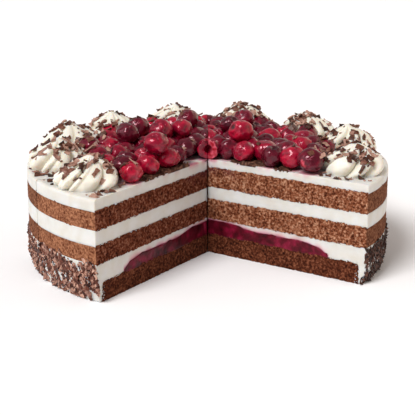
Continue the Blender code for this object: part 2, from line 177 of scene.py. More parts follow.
def new_finish(name, values):
    """Start a material: Blender's Principled shader with its uniform values on its own sockets."""
    material = bpy.data.materials.new(name)
    material.use_nodes = True
    shader = material.node_tree.nodes["Principled BSDF"]
    for socket, value in values.items():
        shader.inputs[socket].default_value = value
    return material, material.node_tree, shader


# %% Floor
FLOOR_SIZE = 12

backdrop, _, shader = new_finish("matt_white_board", {"Roughness": 0.9, "Specular IOR Level": 0.2})
shader.inputs["Base Color"].default_value = linear("#FCFCFE")
floor_mesh = bpy.data.meshes.new("floor")
floor_corners = [(x * FLOOR_SIZE, y * FLOOR_SIZE, 0) for x, y in ((-1, -1), (1, -1), (1, 1), (-1, 1))]
floor_mesh.from_pydata(floor_corners, [], [(0, 1, 2, 3)])
floor_mesh.materials.append(backdrop)
floor = bpy.data.objects.new("floor", floor_mesh)
bpy.context.scene.collection.objects.link(floor)
print("floor:", 2 * FLOOR_SIZE, "m wide")

# %% Light
ROOM_BRIGHTNESS = 1.6
ROOM_COLOURS = [                # from the far side of the room, at 0, to the window, at 1
    (0.08, "#DCC8B2"), (0.26, "#CBBDAE"), (0.37, "#7A777A"),
    (0.7, "#817F7C"), (0.92, "#848485"), (0.965, "#E4E4E4"),
]
KEY_HEADING = radians(230)
KEY_HEIGHT = radians(50)
KEY_SOFTNESS = radians(25)
KEY_BRIGHTNESS = 2.55
KEY_COLOUR = (1.0, 0.99, 0.975)

towards_window = Vector((-0.88, -0.32, 0.34)).normalized()
sky = bpy.data.worlds.new("pale_room")
sky.use_nodes = True
tree = sky.node_tree
way = put(tree, "TexCoord", out="Generated")
nearness = put(tree, "VectorMath", {0: way, 1: towards_window}, out="Value", operation="DOT_PRODUCT")
share = put(tree, "MapRange", {"Value": nearness, "From Min": -1.0, "From Max": 1.0})
room = put(tree, "ValToRGB", {"Fac": share}, ROOM_COLOURS)
tree.links.new(room, tree.nodes["Background"].inputs["Color"])
tree.nodes["Background"].inputs["Strength"].default_value = ROOM_BRIGHTNESS
bpy.context.scene.world = sky

key_data = bpy.data.lights.new("softbox", "SUN")
key_data.energy = KEY_BRIGHTNESS
key_data.angle = KEY_SOFTNESS
key_data.color = KEY_COLOUR
key = bpy.data.objects.new("softbox", key_data)
towards_key = Vector((
    cos(KEY_HEADING) * cos(KEY_HEIGHT), sin(KEY_HEADING) * cos(KEY_HEIGHT), sin(KEY_HEIGHT),
))
key.rotation_euler = towards_key.to_track_quat("Z", "Y").to_euler()
bpy.context.scene.collection.objects.link(key)
bpy.context.scene.view_settings.view_transform = "Standard"
print("the room and the softbox are in place")

# %% [markdown]
# ## Random hills and holes
#
# Food is uneven at every size. Two formulas give that unevenness to whole arrays of points.
# Value noise draws a random height at each corner of a grid of cells and blends between them.
# Cell noise strews one seed in each cell and measures how near the nearest seed is, which
# makes round pores. Both hash whole numbers, so they give the same cake at every run.

# %% Noise on arrays of points
def drawn(cell, seed):
    """A number from 0 to 1 for each whole-number cell: its three indices multiplied and mixed."""
    mixed = cell[..., 0] * 73856093 ^ cell[..., 1] * 19349663 ^ cell[..., 2] * 83492791
    mixed = (mixed ^ seed * 668265263) & 0x7FFFFFFF
    mixed = ((mixed ^ mixed >> 15) * 1274126177) & 0x7FFFFFFF
    mixed = ((mixed ^ mixed >> 13) * 1911520717) & 0x7FFFFFFF
    return (mixed ^ mixed >> 16) % 65536 / 65535


def hills(points, size, seed):
    """Value noise from -1 to 1: the eight corners of a point's cell, blended by smooth steps."""
    scaled = points / size
    cell = np.floor(scaled).astype(np.int64)
    share = scaled - cell
    share = share * share * (3 - 2 * share)
    total = np.zeros(points.shape[:-1])
    for corner in np.ndindex(2, 2, 2):
        weight = np.where(np.array(corner, bool), share, 1 - share).prod(axis=-1)
        total += weight * drawn(cell + np.array(corner), seed)
    return 2 * total - 1


def pores(points, size, width, seed):
    """Round holes, 1 in their middle and 0 outside: one to a cell of this size, of this width."""
    scaled = points / size
    cell = np.floor(scaled).astype(np.int64)
    nearest = np.full(points.shape[:-1], 9.0)
    for step in np.ndindex(3, 3, 3):
        other = cell + np.array(step) - 1
        seeds = other + np.stack([drawn(other, seed + axis) for axis in (1, 2, 3)], axis=-1)
        nearest = np.minimum(nearest, np.linalg.norm(scaled - seeds, axis=-1))
    return np.clip(1 - nearest * size * 2 / width, 0, 1)


def ramp(values, low, high):
    """Smooth step: 0 below low, 1 above high, and 3x^2-2x^3 between."""
    share = np.clip((values - low) / (high - low), 0, 1)
    return share * share * (3 - 2 * share)


# %% Pieces from arrays
def new_piece(name, points, faces, finish, shades, replaced=(), smooth=True):
    """Make one piece from points, arrays of faces and one value a point for each shade."""
    mesh = bpy.data.meshes.new(name)
    corners = np.concatenate([part.ravel() for part in faces])
    sizes = np.concatenate([np.full(len(part), part.shape[1]) for part in faces])
    mesh.vertices.add(len(points))
    mesh.vertices.foreach_set("co", points.astype(np.float32).ravel())
    mesh.loops.add(len(corners))
    mesh.loops.foreach_set("vertex_index", corners.astype(np.int32))
    mesh.polygons.add(len(sizes))
    mesh.polygons.foreach_set("loop_start", (np.cumsum(sizes) - sizes).astype(np.int32))
    mesh.polygons.foreach_set("use_smooth", np.full(len(sizes), smooth))
    for shade, values in shades.items():
        layer = mesh.attributes.new(shade, "FLOAT", "POINT")
        layer.data.foreach_set("value", values.astype(np.float32).ravel())
    mesh.update(calc_edges=True)
    mesh.validate()
    mesh.materials.append(finish)
    piece = bpy.data.objects.new(name, mesh)
    bpy.context.scene.collection.objects.link(piece)
    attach(piece, "root")
    if replaced:
        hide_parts(*replaced)
    print(f"{name}: {(sizes - 2).sum()} triangles")
    return piece


def loft_faces(rings, around):
    """Faces of stacked closed rings, with a tip under the first ring and one over the last."""
    index = np.arange(rings * around).reshape(rings, around)
    ahead = np.roll(index, -1, axis=1)
    quads = np.stack([index[:-1], ahead[:-1], ahead[1:], index[1:]], axis=-1).reshape(-1, 4)
    under = np.full(around, rings * around)
    below = np.stack([under, ahead[0], index[0]], axis=-1)
    above = np.stack([under + 1, index[-1], ahead[-1]], axis=-1)
    return [quads, below, above]


# %% [markdown]
# ## Layers of the torte
#
# A sponge, a cream and the jelly are all wedges of a round: two cut faces, an outer side, a top
# and an underside. A cylinder with a Boolean cut would give large flat faces without points to
# shape. Instead, one closed line runs round the wedge, in along one cut, round the
# outside and back along the other. It rises in rows to make the side, and shrinks ring by ring to
# close the top and the bottom. Every layer uses this one surface with its own heights and relief.

# %% The line round a wedge
SWELL_SHARES = (0.0, 0.5, 0.8, 0.95, 1.0)       # distance from the axis, over the torte's radius
SWELLS = (0.44, 0.46, 0.6, 0.2, -0.7)           # how far a layer swells into the knife's gap, mm


def swell_at(angle, distance):
    """How far a cut swells at a distance: only where another group stands against it."""
    return np.interp(distance / TORTE_RADIUS, SWELL_SHARES, SWELLS) * MM * (EVERY_CUT.count(angle) > 1)


def wedge_outline(span, spacing):
    """The line round a wedge of radius 1, where it faces, and 1 on its outer side."""
    start, end = span
    cut = np.linspace(0, 1, round(TORTE_RADIUS / spacing), endpoint=False)[:, None]
    turn = np.linspace(start, end, round(TORTE_RADIUS * (end - start) / spacing), endpoint=False)
    flat = np.zeros(len(cut))
    line = np.concatenate([cut * heading(start), heading(turn), (1 - cut) * heading(end)])
    facing = np.concatenate([-sideways(start + flat), heading(turn), sideways(end + flat)])
    skin = np.concatenate([flat, np.ones(len(turn)), flat])
    for _ in range(2):          # neighbours are added twice, so that the corners face between
        facing = facing + np.roll(facing, 1, axis=0) + np.roll(facing, -1, axis=0)
    facing /= np.linalg.norm(facing, axis=1, keepdims=True)
    return line, facing, skin


# %% The closed surface of a wedge
HIDDEN_LID = (0.985, 0.95, 0.8, 0.45)           # rings of a top or an underside, over the edge's size
LID_BLEND = 0.04                                # share over which a lid leaves its ragged edge


def wedge_layer(
    span, radius, spacing, rows, low, high, relief, reach=None, lid=HIDDEN_LID, lid_relief=None,
):
    """Points of a closed wedge, ring by ring, with its two tips and its shades.

    Side: line * reach(height), at heights from low(distance) to high(distance).
    Lids: middle + (edge - middle) * share, at the height of low or high for that distance.
    """
    line, facing, skin = wedge_outline(span, spacing)
    away = np.linalg.norm(line, axis=1) * radius
    on_first = np.arange(len(line)) < len(line) / 2
    swell = np.where(on_first, swell_at(span[0], away), swell_at(span[1], away)) * (1 - skin)
    level = np.linspace(0, 1, rows)[:, None]
    height = low(away) + level * (high(away) - low(away))
    wide = reach(height) if reach else np.full(height.shape, radius)
    side = line * wide[..., None]
    side[..., 2] = height
    push, lift, shades = relief(side, skin, level)
    side = side + facing * (push + swell)[..., None]
    side[..., 2] = np.maximum(side[..., 2] + lift, 0)

    middle = heading(np.mean(span)) * radius * 0.5

    def lid_rings(edge, surface, shares):
        share = np.array(shares)[:, None]
        rings = middle + (edge - middle) * share[..., None]
        near_edge = np.clip(1 - (1 - share) / LID_BLEND, 0, 1)
        off = edge[:, 2] - surface(np.linalg.norm(edge[:, :2], axis=1))
        rings[..., 2] = surface(np.linalg.norm(rings[..., :2], axis=-1)) + off * near_edge
        return rings

    below = lid_rings(side[0], low, HIDDEN_LID)[::-1]
    above = lid_rings(side[-1], high, lid)
    shades = {"skin": np.broadcast_to(skin, height.shape), **shades}
    above_shades = {}
    if lid_relief:
        rise, above_shades = lid_relief(above, np.array(lid)[:, None])
        above[..., 2] += rise
    rings = np.concatenate([below, side, above])
    tips = np.stack([middle, middle])
    tips[:, 2] = low(radius * 0.5), above[-1, :, 2].mean()
    for name, values in shades.items():
        over = above_shades.get(name, np.zeros(above.shape[:2]))
        grid = np.concatenate([np.zeros(below.shape[:2]), values, over])
        shades[name] = np.concatenate([grid.ravel(), [0, over[-1].mean()]])
    return rings, tips, shades


def layer_piece(name, group, finish, replaced, surface):
    """Turn a wedge's rings, tips and shades into the piece of a group, in its place."""
    rings, tips, shades = surface
    points = np.concatenate([rings.reshape(-1, 3), tips]) + PLACES[group]
    points[:, 2] = np.maximum(points[:, 2], 0)
    return new_piece(name, points, loft_faces(*rings.shape[:2]), finish, shades, [replaced])


# %% [markdown]
# ## Chocolate sponge
#
# A sponge's cut face is torn crumb: bubbles of one to three millimetres, ragged walls between
# them, and crumbs that drag into the cream above and below. Its outer side is the skin that
# baked against the ring, so its relief is fainter. The mesh has a point every 0.62 mm, which is
# enough to sink the pores as real holes. Anything finer is in the material, and the depth of
# each hole is passed to it, which paints shade into the pores, because pores look dark inside.

# %% Crumb relief
CRUMB_SPACING = 0.62 * MM
CRUMB_ROWS = 26
LARGE_PORE, LARGE_PORE_CELL = 2.2 * MM, 4.84 * MM
SMALL_PORE, SMALL_PORE_CELL = 1.5 * MM, 1.65 * MM
CRUMB_FRINGE = 0.75 * MM        # how far crumbs stray over the cream's edge


def crumb_relief(seed, juicy):
    """Relief of a sponge: grains, swells and sunken pores on cuts, fainter on the skin.

    Also gives how deep each point lies in a pore, for the painted shade in the pores, and how much juice it
    drank near the axis.
    """
    def relief(side, skin, level):
        rough = 1 - 0.45 * skin
        large = pores(side, LARGE_PORE_CELL, LARGE_PORE, seed)
        small = pores(side, SMALL_PORE_CELL, SMALL_PORE, seed + 7)
        # How deep a point lies in a pore: it sinks the crumb, and the material paints shade by it.
        hollow = 0.8 * np.maximum(large, small)
        grain = hills(side, 1.2 * MM, seed)
        swell = hills(side, 6 * MM, seed + 1)
        push = (0.34 * grain + 0.12 * swell - 1.1 * hollow * rough - 0.1) * MM * (1 - 0.5 * skin)
        edge = np.abs(2 * level - 1) ** 8
        flat = side * (1, 1, 0)
        fringe = 0.6 * hills(flat + seed, 2.6 * MM, seed + 2) + 0.6 * hills(flat, 1.2 * MM, seed + 3)
        lift = CRUMB_FRINGE * fringe * edge * np.sign(level - 0.5) * (1 - 0.55 * skin)
        distance = np.linalg.norm(side[..., :2], axis=-1)
        soaked = ramp(level + 0.35 * hills(side, 5 * MM, seed + 4), 0.45, 0.95)
        soaked = soaked * ramp(-distance, -36 * MM, -14 * MM) * juicy
        return push, lift, {"hollow": hollow * rough, "juice": soaked}
    return relief


# %% [markdown]
# The crumb's colour is a warm brown with painted shade that makes it nearly black in the pores,
# and a pale flecked rust on the tips of the grains. The skin outside has a dark and a light of its
# own. The bottom sponge drank the cherries' juice, so it is darker, and the front portion's crumb
# is painted darker for the shade on its cut face. A very high roughness and no clear highlight
# make crumb look dry and soft.

# %% Baked chocolate crumb
def crumb_finish(name, dark, mid, light, skin_dark, skin_light):
    """Dry open crumb on cuts and close skin outside: two noises set the hue, and painted shade darkens pores
    and pinholes.
    """
    material, tree, shader = new_finish(name, {"Roughness": 0.92, "Specular IOR Level": 0.1})
    where = put(tree, "TexCoord", out="Object")
    grain = put(tree, "TexNoise", {"Vector": where, "Scale": 520, "Detail": 3, "Roughness": 0.65})
    patch = put(tree, "TexNoise", {"Vector": where, "Scale": 150, "Detail": 2})
    fleck = put(tree, "TexVoronoi", {"Vector": where, "Scale": 500})
    skin, hollow, juicy = [
        put(tree, "Attribute", out="Fac", attribute_name=shade) for shade in ("skin", "hollow", "juice")
    ]
    tone = put(tree, "Mix", {0: 0.2, 2: grain, 3: patch})
    crumb = put(tree, "ValToRGB", {"Fac": tone}, [(0.37, dark), (0.5, mid), (0.64, light)])
    crust = put(tree, "ValToRGB", {"Fac": tone}, [(0.37, skin_dark), (0.62, skin_light)])
    # Painted shade: dark pinholes for pores too fine for the mesh.
    pinhole_shade = put(tree, "ValToRGB", {"Fac": fleck}, [(0.1, 0.45), (0.32, 1.0)])
    # Painted shade: the deeper a point lies in a pore, the darker it is.
    depth = put(tree, "ValToRGB", {"Fac": hollow}, [(0.0, "#FFFFFF"), (0.6, "#7C4A34")])
    both = put(tree, "Mix", {0: skin, 6: crumb, 7: crust}, **MIX_COLOURS)
    pitted = put(tree, "Mix", {0: 0.8, 6: both, 7: pinhole_shade}, **MULTIPLY_COLOURS)
    sunk = put(tree, "Mix", {0: 1.0, 6: pitted, 7: depth}, **MULTIPLY_COLOURS)
    stained = put(tree, "Mix", {0: juicy, 6: sunk, 7: linear("#4A1230")}, **MIX_COLOURS)
    bump = put(tree, "Bump", {"Height": grain, "Strength": 1.0, "Distance": 0.8 * MM})
    tree.links.new(stained, shader.inputs["Base Color"])
    tree.links.new(bump, shader.inputs["Normal"])
    return material


dry_crumb = crumb_finish("dry_chocolate_crumb", "#421C0E", "#874D33", "#C09173", "#4A2111", "#966348")
# The front portion's crumb tones are painted darker: shade on its cut face.
shaded_front_crumb = crumb_finish("shaded_front_chocolate_crumb", "#35130A", "#69331E", "#9A6550", "#5C2A17", "#AE7757")
soaked_crumb = crumb_finish("soaked_chocolate_crumb", "#2C1007", "#5A2C1A", "#88523A", "#52301E", "#74482F")


# %% Heights of the layers
def bottom_sponge_top(group):
    """Height of the bottom sponge: level, then a quarter circle down to its rim."""
    def height(distance):
        out = np.clip((distance - BASE_RADIUS + BASE_ROUNDING) / BASE_ROUNDING, 0, 1)
        return group["bottom"] * MM - BASE_ROUNDING * (1 - np.sqrt(1 - 0.98 * out**2))
    return height


def base_reach(height):
    """Radius of the bottom sponge: noise over the height makes its edge ragged against the coat."""
    along = np.stack([height, 0 * height, 0 * height], axis=-1)
    return BASE_RADIUS + (0.6 + 0.7 * hills(along, 1.4 * MM, 90) + 0.5 * hills(along, 3.6 * MM, 91)) * MM


def level_at(height):
    """A flat surface at a height, at every distance."""
    return lambda distance: np.full(np.shape(distance), float(height))


def layer_tops(group):
    """Heights of a group's lower cream, middle sponge, middle cream and top sponge, in metres."""
    return [group[layer] * MM for layer in ("lower", "middle", "cream", "top")]


# %% The nine sponges
SPONGE_RADIUS = TORTE_RADIUS - 0.3 * MM
TOP_SPONGE_JUICE = 0.35         # how strongly juice stains the top sponge near the axis

for number, (name, group) in enumerate(GROUPS.items()):
    lower, middle, cream, top = layer_tops(group)
    # The front portion takes the crumb that is painted darker for shade.
    upper_crumb = shaded_front_crumb if name == "front" else dry_crumb
    sponges = (
        ("bottom", BASE_RADIUS, level_at(0), bottom_sponge_top(group), soaked_crumb, 0.0, base_reach),
        ("middle", SPONGE_RADIUS, level_at(lower + GAP), level_at(middle), upper_crumb, 0.0, None),
        ("top", SPONGE_RADIUS, level_at(cream + GAP), level_at(top), upper_crumb, TOP_SPONGE_JUICE, None),
    )
    for place, (layer, radius, low, high, finish, juicy, reach) in enumerate(sponges):
        relief = crumb_relief(100 * number + 30 * place + 10, juicy)
        surface = wedge_layer(SPANS[name], radius, CRUMB_SPACING, CRUMB_ROWS, low, high, relief, reach)
        replaced = f"{name}_sponge_{layer}"
        layer_piece(f"{name}_{layer}_sponge", name, finish, replaced, surface)

# %% [markdown]
# ## Cherry heap: where the cherries lie
#
# The cream under the cherries is stained by their juice, so their places are worked out before
# the creams are made. The rule is the one that placed the solid cherries, with the same random
# draws: strewn in loose rows, pushed apart, pushed off the knife's cuts and the rosettes, and a
# few more rolled into pockets on top. A place on the cream is one complex number, x + iy,
# which makes distances and directions short to write.

# %% Sizes of the heap and the rosettes
ROSETTE_RADIUS = 23 * MM
ROSETTE_HEIGHT = 22.5 * MM
ROSETTE_RING = 115.5 * MM
HEAP_RADIUS = 97 * MM
CHERRY_SIZES = (7.7 * MM, 9.4 * MM)
CHERRY_SPACING = 17.9 * MM
CHERRY_STRAY = 2.6 * MM
CHERRY_CLOSE = 0.96
CHERRY_SQUASH = 0.92
CHERRIES_ON_TOP = 9
TOP_HEAP_RADIUS = 66 * MM
TOP_CLOSE = 0.93
PUSHING_ROUNDS = 40
POCKETS_TRIED = 40
HALF_CUT = 0.22                 # a cherry nearer to a cut than this share of its radius is halved
SEED = 41


def compass(angle):
    """The complex number of length 1 that points towards an angle."""
    return complex(cos(angle), sin(angle))


def cut_distance(spot, angle):
    """Distance of a spot to a cut, or None on the far side of the axis."""
    turned = spot * compass(-angle)
    return turned.imag if turned.real >= 0 else None


# %% Places of rosettes and cherries
def rosette_places(draw):
    """Place and radius of the rosette on each portion of each group."""
    places = {}
    for name, group in GROUPS.items():
        start, end = SPANS[name]
        places[name] = []
        for portion in range(group["portions"]):
            angle = start + (end - start) * (portion + 0.5) / group["portions"]
            radius = ROSETTE_RADIUS * draw.uniform(0.97, 1.03)
            places[name].append((compass(angle) * ROSETTE_RING, radius))
    return places


def settled_cherries(rosettes, draw):
    """Cherries on the cream, as lists of spots and radii, after many rounds of pushing."""
    spots, sizes = [], []
    pitch = CHERRY_SPACING * sqrt(3) / 2
    rows = int(HEAP_RADIUS / pitch) + 1
    for row in range(-rows, rows + 1):
        for column in range(-rows, rows + 1):
            x = (column + row % 2 / 2) * CHERRY_SPACING + draw.uniform(-CHERRY_STRAY, CHERRY_STRAY)
            y = row * pitch + draw.uniform(-CHERRY_STRAY, CHERRY_STRAY)
            radius = draw.uniform(*CHERRY_SIZES)
            if hypot(x, y) < HEAP_RADIUS:
                spots.append(complex(x, y))
                sizes.append(radius)
    count = range(len(spots))
    near = {(n, a): cut_distance(spots[n], a) for n in count for a in CUTS}
    halved = {n for (n, a), gap in near.items() if gap is not None and abs(gap) < sizes[n] * HALF_CUT}
    for _ in range(PUSHING_ROUNDS):
        for n in count:
            for m in range(n):
                between = spots[n] - spots[m]
                crowding = CHERRY_CLOSE * (sizes[n] + sizes[m]) - abs(between)
                if crowding > 0:
                    step = between / abs(between) * crowding / 2
                    spots[n] += step
                    spots[m] -= step
        for n in count:
            for angle in CUTS:
                gap = cut_distance(spots[n], angle)
                if gap is not None and abs(gap) <= sizes[n] and n not in halved:
                    side = 1 if gap > 0 else -1
                    spots[n] += compass(angle) * 1j * (side * (sizes[n] + GAP / 10) - gap)
        for n in count:
            for middle, reach in rosettes:
                between = spots[n] - middle
                crowding = sizes[n] + reach + 2 * GAP - abs(between)
                if crowding > 0:
                    spots[n] += between / abs(between) * crowding
    return spots, sizes


def piled_cherries(lower, draw):
    """The second layer: each cherry takes the lowest of many pockets between the ones below."""
    piled = []
    first, last = SPANS["right"][0], SPANS["front"][1]
    for _ in range(CHERRIES_ON_TOP):
        radius = draw.uniform(*CHERRY_SIZES)
        best = None
        for _ in range(POCKETS_TRIED):
            share = sqrt(draw.random())
            spot = compass(draw.uniform(first, last)) * TOP_HEAP_RADIUS * share
            gaps = [cut_distance(spot, angle) for angle in CUTS]
            height = 0
            for other, size, level in lower + piled:
                reach = (radius + size) * TOP_CLOSE
                apart = abs(spot - other)
                if apart < reach:
                    height = max(height, level + sqrt(reach**2 - apart**2) * CHERRY_SQUASH)
            clear = all(gap is None or abs(gap) >= radius + GAP for gap in gaps)
            lies = height > TORTE_HEIGHT + 2 * radius
            if lies and clear and (best is None or height < best[2]):
                best = (spot, radius, height)
        if best:
            piled.append(best)
    return piled


rosettes = rosette_places(random.Random(SEED))
every_rosette = [place for places in rosettes.values() for place in places]
lower_cherries = [
    (spot, size, TORTE_HEIGHT + 1.3 * GAP + size * CHERRY_SQUASH)
    for spot, size in zip(*settled_cherries(every_rosette, random.Random(SEED + 1)))
]
cherries = lower_cherries + piled_cherries(lower_cherries, random.Random(SEED + 2))
print(len(cherries), "cherries, of which", len(cherries) - len(lower_cherries), "lie on others")

# %% [markdown]
# ## Whipped cream
#
# The creams were spread with a palette knife and set, and the cuts were made with a warm wet
# blade. So the faces are smooth, a little wavy, and stand a hair behind the crumb, which drags
# over them. Behind the crumb's ragged edge the cream goes on a little, so that no gap shows.
# Cream lets light in: a little subsurface scattering keeps its shade warm. Next to the jelly
# and the cherries it turns pink, and how pink is a shade of the mesh.

# %% Set whipped cream
def cream_finish(name, pale, warm):
    """Off-white soft satin: mottled by broad noise, pitted by fine bubbles, pink where stained, with painted
    shade in rosette grooves.
    """
    values = {
        "Roughness": 0.5, "Specular IOR Level": 0.35, "Subsurface Weight": 0.5,
        "Subsurface Radius": (1.0, 0.75, 0.5), "Subsurface Scale": 5 * MM,
    }
    material, tree, shader = new_finish(name, values)
    where = put(tree, "TexCoord", out="Object")
    mottle = put(tree, "TexNoise", {"Vector": where, "Scale": 90, "Detail": 3})
    drag = put(tree, "TexNoise", {"Vector": where, "Scale": 260, "Detail": 3})
    bubble = put(tree, "TexVoronoi", {"Vector": where, "Scale": 420})
    groove_shade, stain = [put(tree, "Attribute", out="Fac", attribute_name=shade) for shade in ("groove_shade", "stain")]
    cream = put(tree, "ValToRGB", {"Fac": mottle}, [(0.35, warm), (0.65, pale)])
    # Painted shade: a rosette's grooves turn a shaded yellowish grey.
    groove_shaded = put(tree, "Mix", {0: groove_shade, 6: cream, 7: linear("#E3DCC8")}, **MIX_COLOURS)
    bleeds = [(0.0, "#FFFFFF"), (0.35, "#FBD3DC"), (0.75, "#DD8CA4"), (1.0, "#97304F")]
    bleed = put(tree, "ValToRGB", {"Fac": stain}, bleeds)
    stained = put(tree, "Mix", {0: 1.0, 6: groove_shaded, 7: bleed}, **MULTIPLY_COLOURS)
    pit = put(tree, "ValToRGB", {"Fac": bubble}, [(0.05, 0.0), (0.2, 1.0)])
    soft = put(tree, "Math", {0: drag, 1: pit}, operation="MULTIPLY")
    bump = put(tree, "Bump", {"Height": soft, "Strength": 0.35, "Distance": 0.25 * MM})
    tree.links.new(stained, shader.inputs["Base Color"])
    tree.links.new(bump, shader.inputs["Normal"])
    return material


spread_cream = cream_finish("set_whipped_cream", "#D9D8D5", "#D2CEC6")
piped_cream = cream_finish("piped_whipped_cream", "#EDE9E0", "#E7E1D4")

# %% Faces of the lower cream
CREAM_SPACING = 1.1 * MM
TUCK = 0.8 * MM                 # how far a cream goes on behind the crumb's edge
COAT_SEAT = 0.6 * MM            # how far the coat reaches in over the bottom sponge's side


def jelly_top(group):
    """Height of the jelly's upper face: a curve through its rises, domed at the outer end."""
    fine = np.linspace(0, 1.0, 241)
    rise = np.interp(fine, FILLING_SHARES, FILLING_RISES)
    rise = np.convolve(np.pad(rise, 8, mode="edge"), np.ones(17) / 17, mode="valid")
    heights = (group["bottom"] + FILLING_THICKNESS / MM + rise) * MM
    return lambda distance: np.interp(distance, fine * FILLING_RADIUS, heights)


def under_coat(group):
    """Underside of the lower cream: on the jelly, then on the sponge, then down to the plate."""
    over_jelly, over_sponge = jelly_top(group), bottom_sponge_top(group)

    def height(distance):
        tucked = np.where(distance < FILLING_RADIUS, over_jelly(distance), over_sponge(distance)) - TUCK
        return np.where(distance < BASE_RADIUS - COAT_SEAT, tucked, 0)
    return height


def coat_reach(height):
    """Radius of the cream coat: it draws in by the foot's inset where it meets the plate."""
    foot = np.clip(1 - height / COAT_FOOT_HEIGHT, 0, 1)
    return TORTE_RADIUS - COAT_FOOT_INSET * foot


def rim_reach(height):
    """Radius of the top cream: a quarter circle at the upper edge."""
    up = np.clip((height - TORTE_HEIGHT + TOP_ROUNDING) / TOP_ROUNDING, 0, 1)
    return TORTE_RADIUS - TOP_ROUNDING * (1 - np.sqrt(1 - 0.96 * up**2))


# %% Cream relief and stains
def cream_relief(seed, bleed=None):
    """Relief of a cut or spread cream: broad waves, fine drag marks, and juice in its lower edge."""
    def relief(side, skin, level):
        wave = hills(side * (1, 1, 1.6), 11 * MM, seed)
        drag = hills(side * (0.35, 0.35, 2.2), 2.4 * MM, seed + 1)
        push = (0.18 * wave + 0.09 * drag - 0.42 + 0.22 * skin) * MM
        tear = pores(side, 7 * MM, 2.2 * MM, seed + 2)
        push = push - 0.5 * tear * MM * (1 - skin)
        stain = np.zeros(push.shape)
        if bleed is not None:
            distance = np.linalg.norm(side[..., :2], axis=-1)
            above = side[..., 2] - bleed(distance)
            ragged = 1.2 * MM * (1 + 0.9 * hills(side, 6 * MM, seed + 3))
            stain = np.exp(-np.maximum(above, 0) / ragged) * (distance < FILLING_RADIUS + 1 * MM)
        return push, np.zeros(push.shape), {"stain": stain * (1 - skin)}
    return relief


def juice_around(points):
    """1 under a cherry, falling to 0 within a few millimetres of it."""
    flat = points.reshape(-1, 3)
    near = np.full(len(flat), 1.0)
    for spot, radius, _ in lower_cherries:
        near = np.minimum(near, np.hypot(flat[:, 0] - spot.real, flat[:, 1] - spot.imag) - radius)
    near = near + 0.8 * MM * hills(flat, 3 * MM, 5)
    return (1 - ramp(near, -3.0 * MM, 1.6 * MM)).reshape(points.shape[:-1])


def top_cream_relief(seed):
    """The cut cream of the top layer: its upper edge is pink where cherries lie on it."""
    plain = cream_relief(seed)

    def relief(side, skin, level):
        push, lift, shades = plain(side, skin, level)
        depth = TORTE_HEIGHT - side[..., 2]
        shades["stain"] = 0.85 * juice_around(side) * np.exp(-depth / (1.8 * MM)) * (1 - skin)
        return push, lift, shades
    return relief


def top_lid_relief(points, share):
    """The spread top: shallow swirls of the palette knife, and the cherries' juice."""
    wave = 0.35 * hills(points * (1, 1, 0), 22 * MM, 9) + 0.12 * hills(points * (1, 1, 0), 5 * MM, 10)
    fade = np.clip((1 - share) * 12, 0, 1)
    return (wave - 0.15) * MM * fade, {"stain": 0.7 * juice_around(points), "skin": 0 * points[..., 0]}


# %% The nine creams
TOP_LID = tuple(np.concatenate([[0.997, 0.99], np.linspace(0.98, 0.04, 54)]))

for number, (name, group) in enumerate(GROUPS.items()):
    lower, middle, cream, top = layer_tops(group)
    seed = 500 + 20 * number
    wedge = (SPANS[name], TORTE_RADIUS, CREAM_SPACING)
    coat = wedge_layer(
        *wedge, 20, under_coat(group), level_at(lower + TUCK), cream_relief(seed, jelly_top(group)),
        reach=coat_reach,
    )
    band = wedge_layer(*wedge, 12, level_at(middle - TUCK), level_at(cream + TUCK), cream_relief(seed + 5))
    cover = wedge_layer(
        *wedge, 14, level_at(top - TUCK), level_at(TORTE_HEIGHT), top_cream_relief(seed + 10),
        reach=rim_reach, lid=TOP_LID, lid_relief=top_lid_relief,
    )
    for layer, node, surface in (("coat", "lower", coat), ("band", "middle", band), ("cover", "top", cover)):
        replaced = f"{name}_cream_{node}"
        layer_piece(f"{name}_cream_{layer}", name, spread_cream, replaced, surface)

# %% [markdown]
# ## Cherry jelly
#
# On the bottom sponge lies a layer of thickened juice with whole cherries in it. The knife
# leaves it smooth and moist, dark where it is thick, and paler where the blade went through a
# cherry. Its relief is low and soft. Two noises mix its reds, one nearly as wide as a cherry and
# one much finer, so that lumps of fruit seem to lie in the gel.

# %% Set cherry jelly
def jelly_finish():
    """Moist purple-red gel with lumps of lighter fruit: a soft gloss and only a trace of coat."""
    values = {
        "Roughness": 0.36, "IOR": 1.38, "Specular IOR Level": 0.2,
        "Coat Weight": 0.06, "Coat Roughness": 0.15,
    }
    material, tree, shader = new_finish("set_cherry_jelly", values)
    where = put(tree, "TexCoord", out="Object")
    fruit = put(tree, "TexNoise", {"Vector": where, "Scale": 85, "Detail": 1, "Distortion": 0.6})
    murk = put(tree, "TexNoise", {"Vector": where, "Scale": 260, "Detail": 4, "Roughness": 0.6})
    tone = put(tree, "Mix", {0: 0.4, 2: fruit, 3: murk})
    reds = [(0.35, "#2E040B"), (0.5, "#560A1B"), (0.62, "#7C1230"), (0.7, "#963048")]
    gel = put(tree, "ValToRGB", {"Fac": tone}, reds)
    bump = put(tree, "Bump", {"Height": murk, "Strength": 0.4, "Distance": 0.6 * MM})
    tree.links.new(gel, shader.inputs["Base Color"])
    tree.links.new(bump, shader.inputs["Normal"])
    return material


def jelly_relief(seed):
    """Relief of the cut jelly: soft lumps as wide as a cherry, and a wavy upper edge."""
    def relief(side, skin, level):
        flat = side * (1, 1, 0)
        push = (0.3 * hills(side, 8 * MM, seed) + 0.16 * hills(side, 2 * MM, seed + 1) - 0.16) * MM
        ragged = hills(flat, 6 * MM, seed + 2) + 0.6 * hills(flat, 2.4 * MM, seed + 3)
        return push, 0.8 * MM * ragged * level**3, {}
    return relief


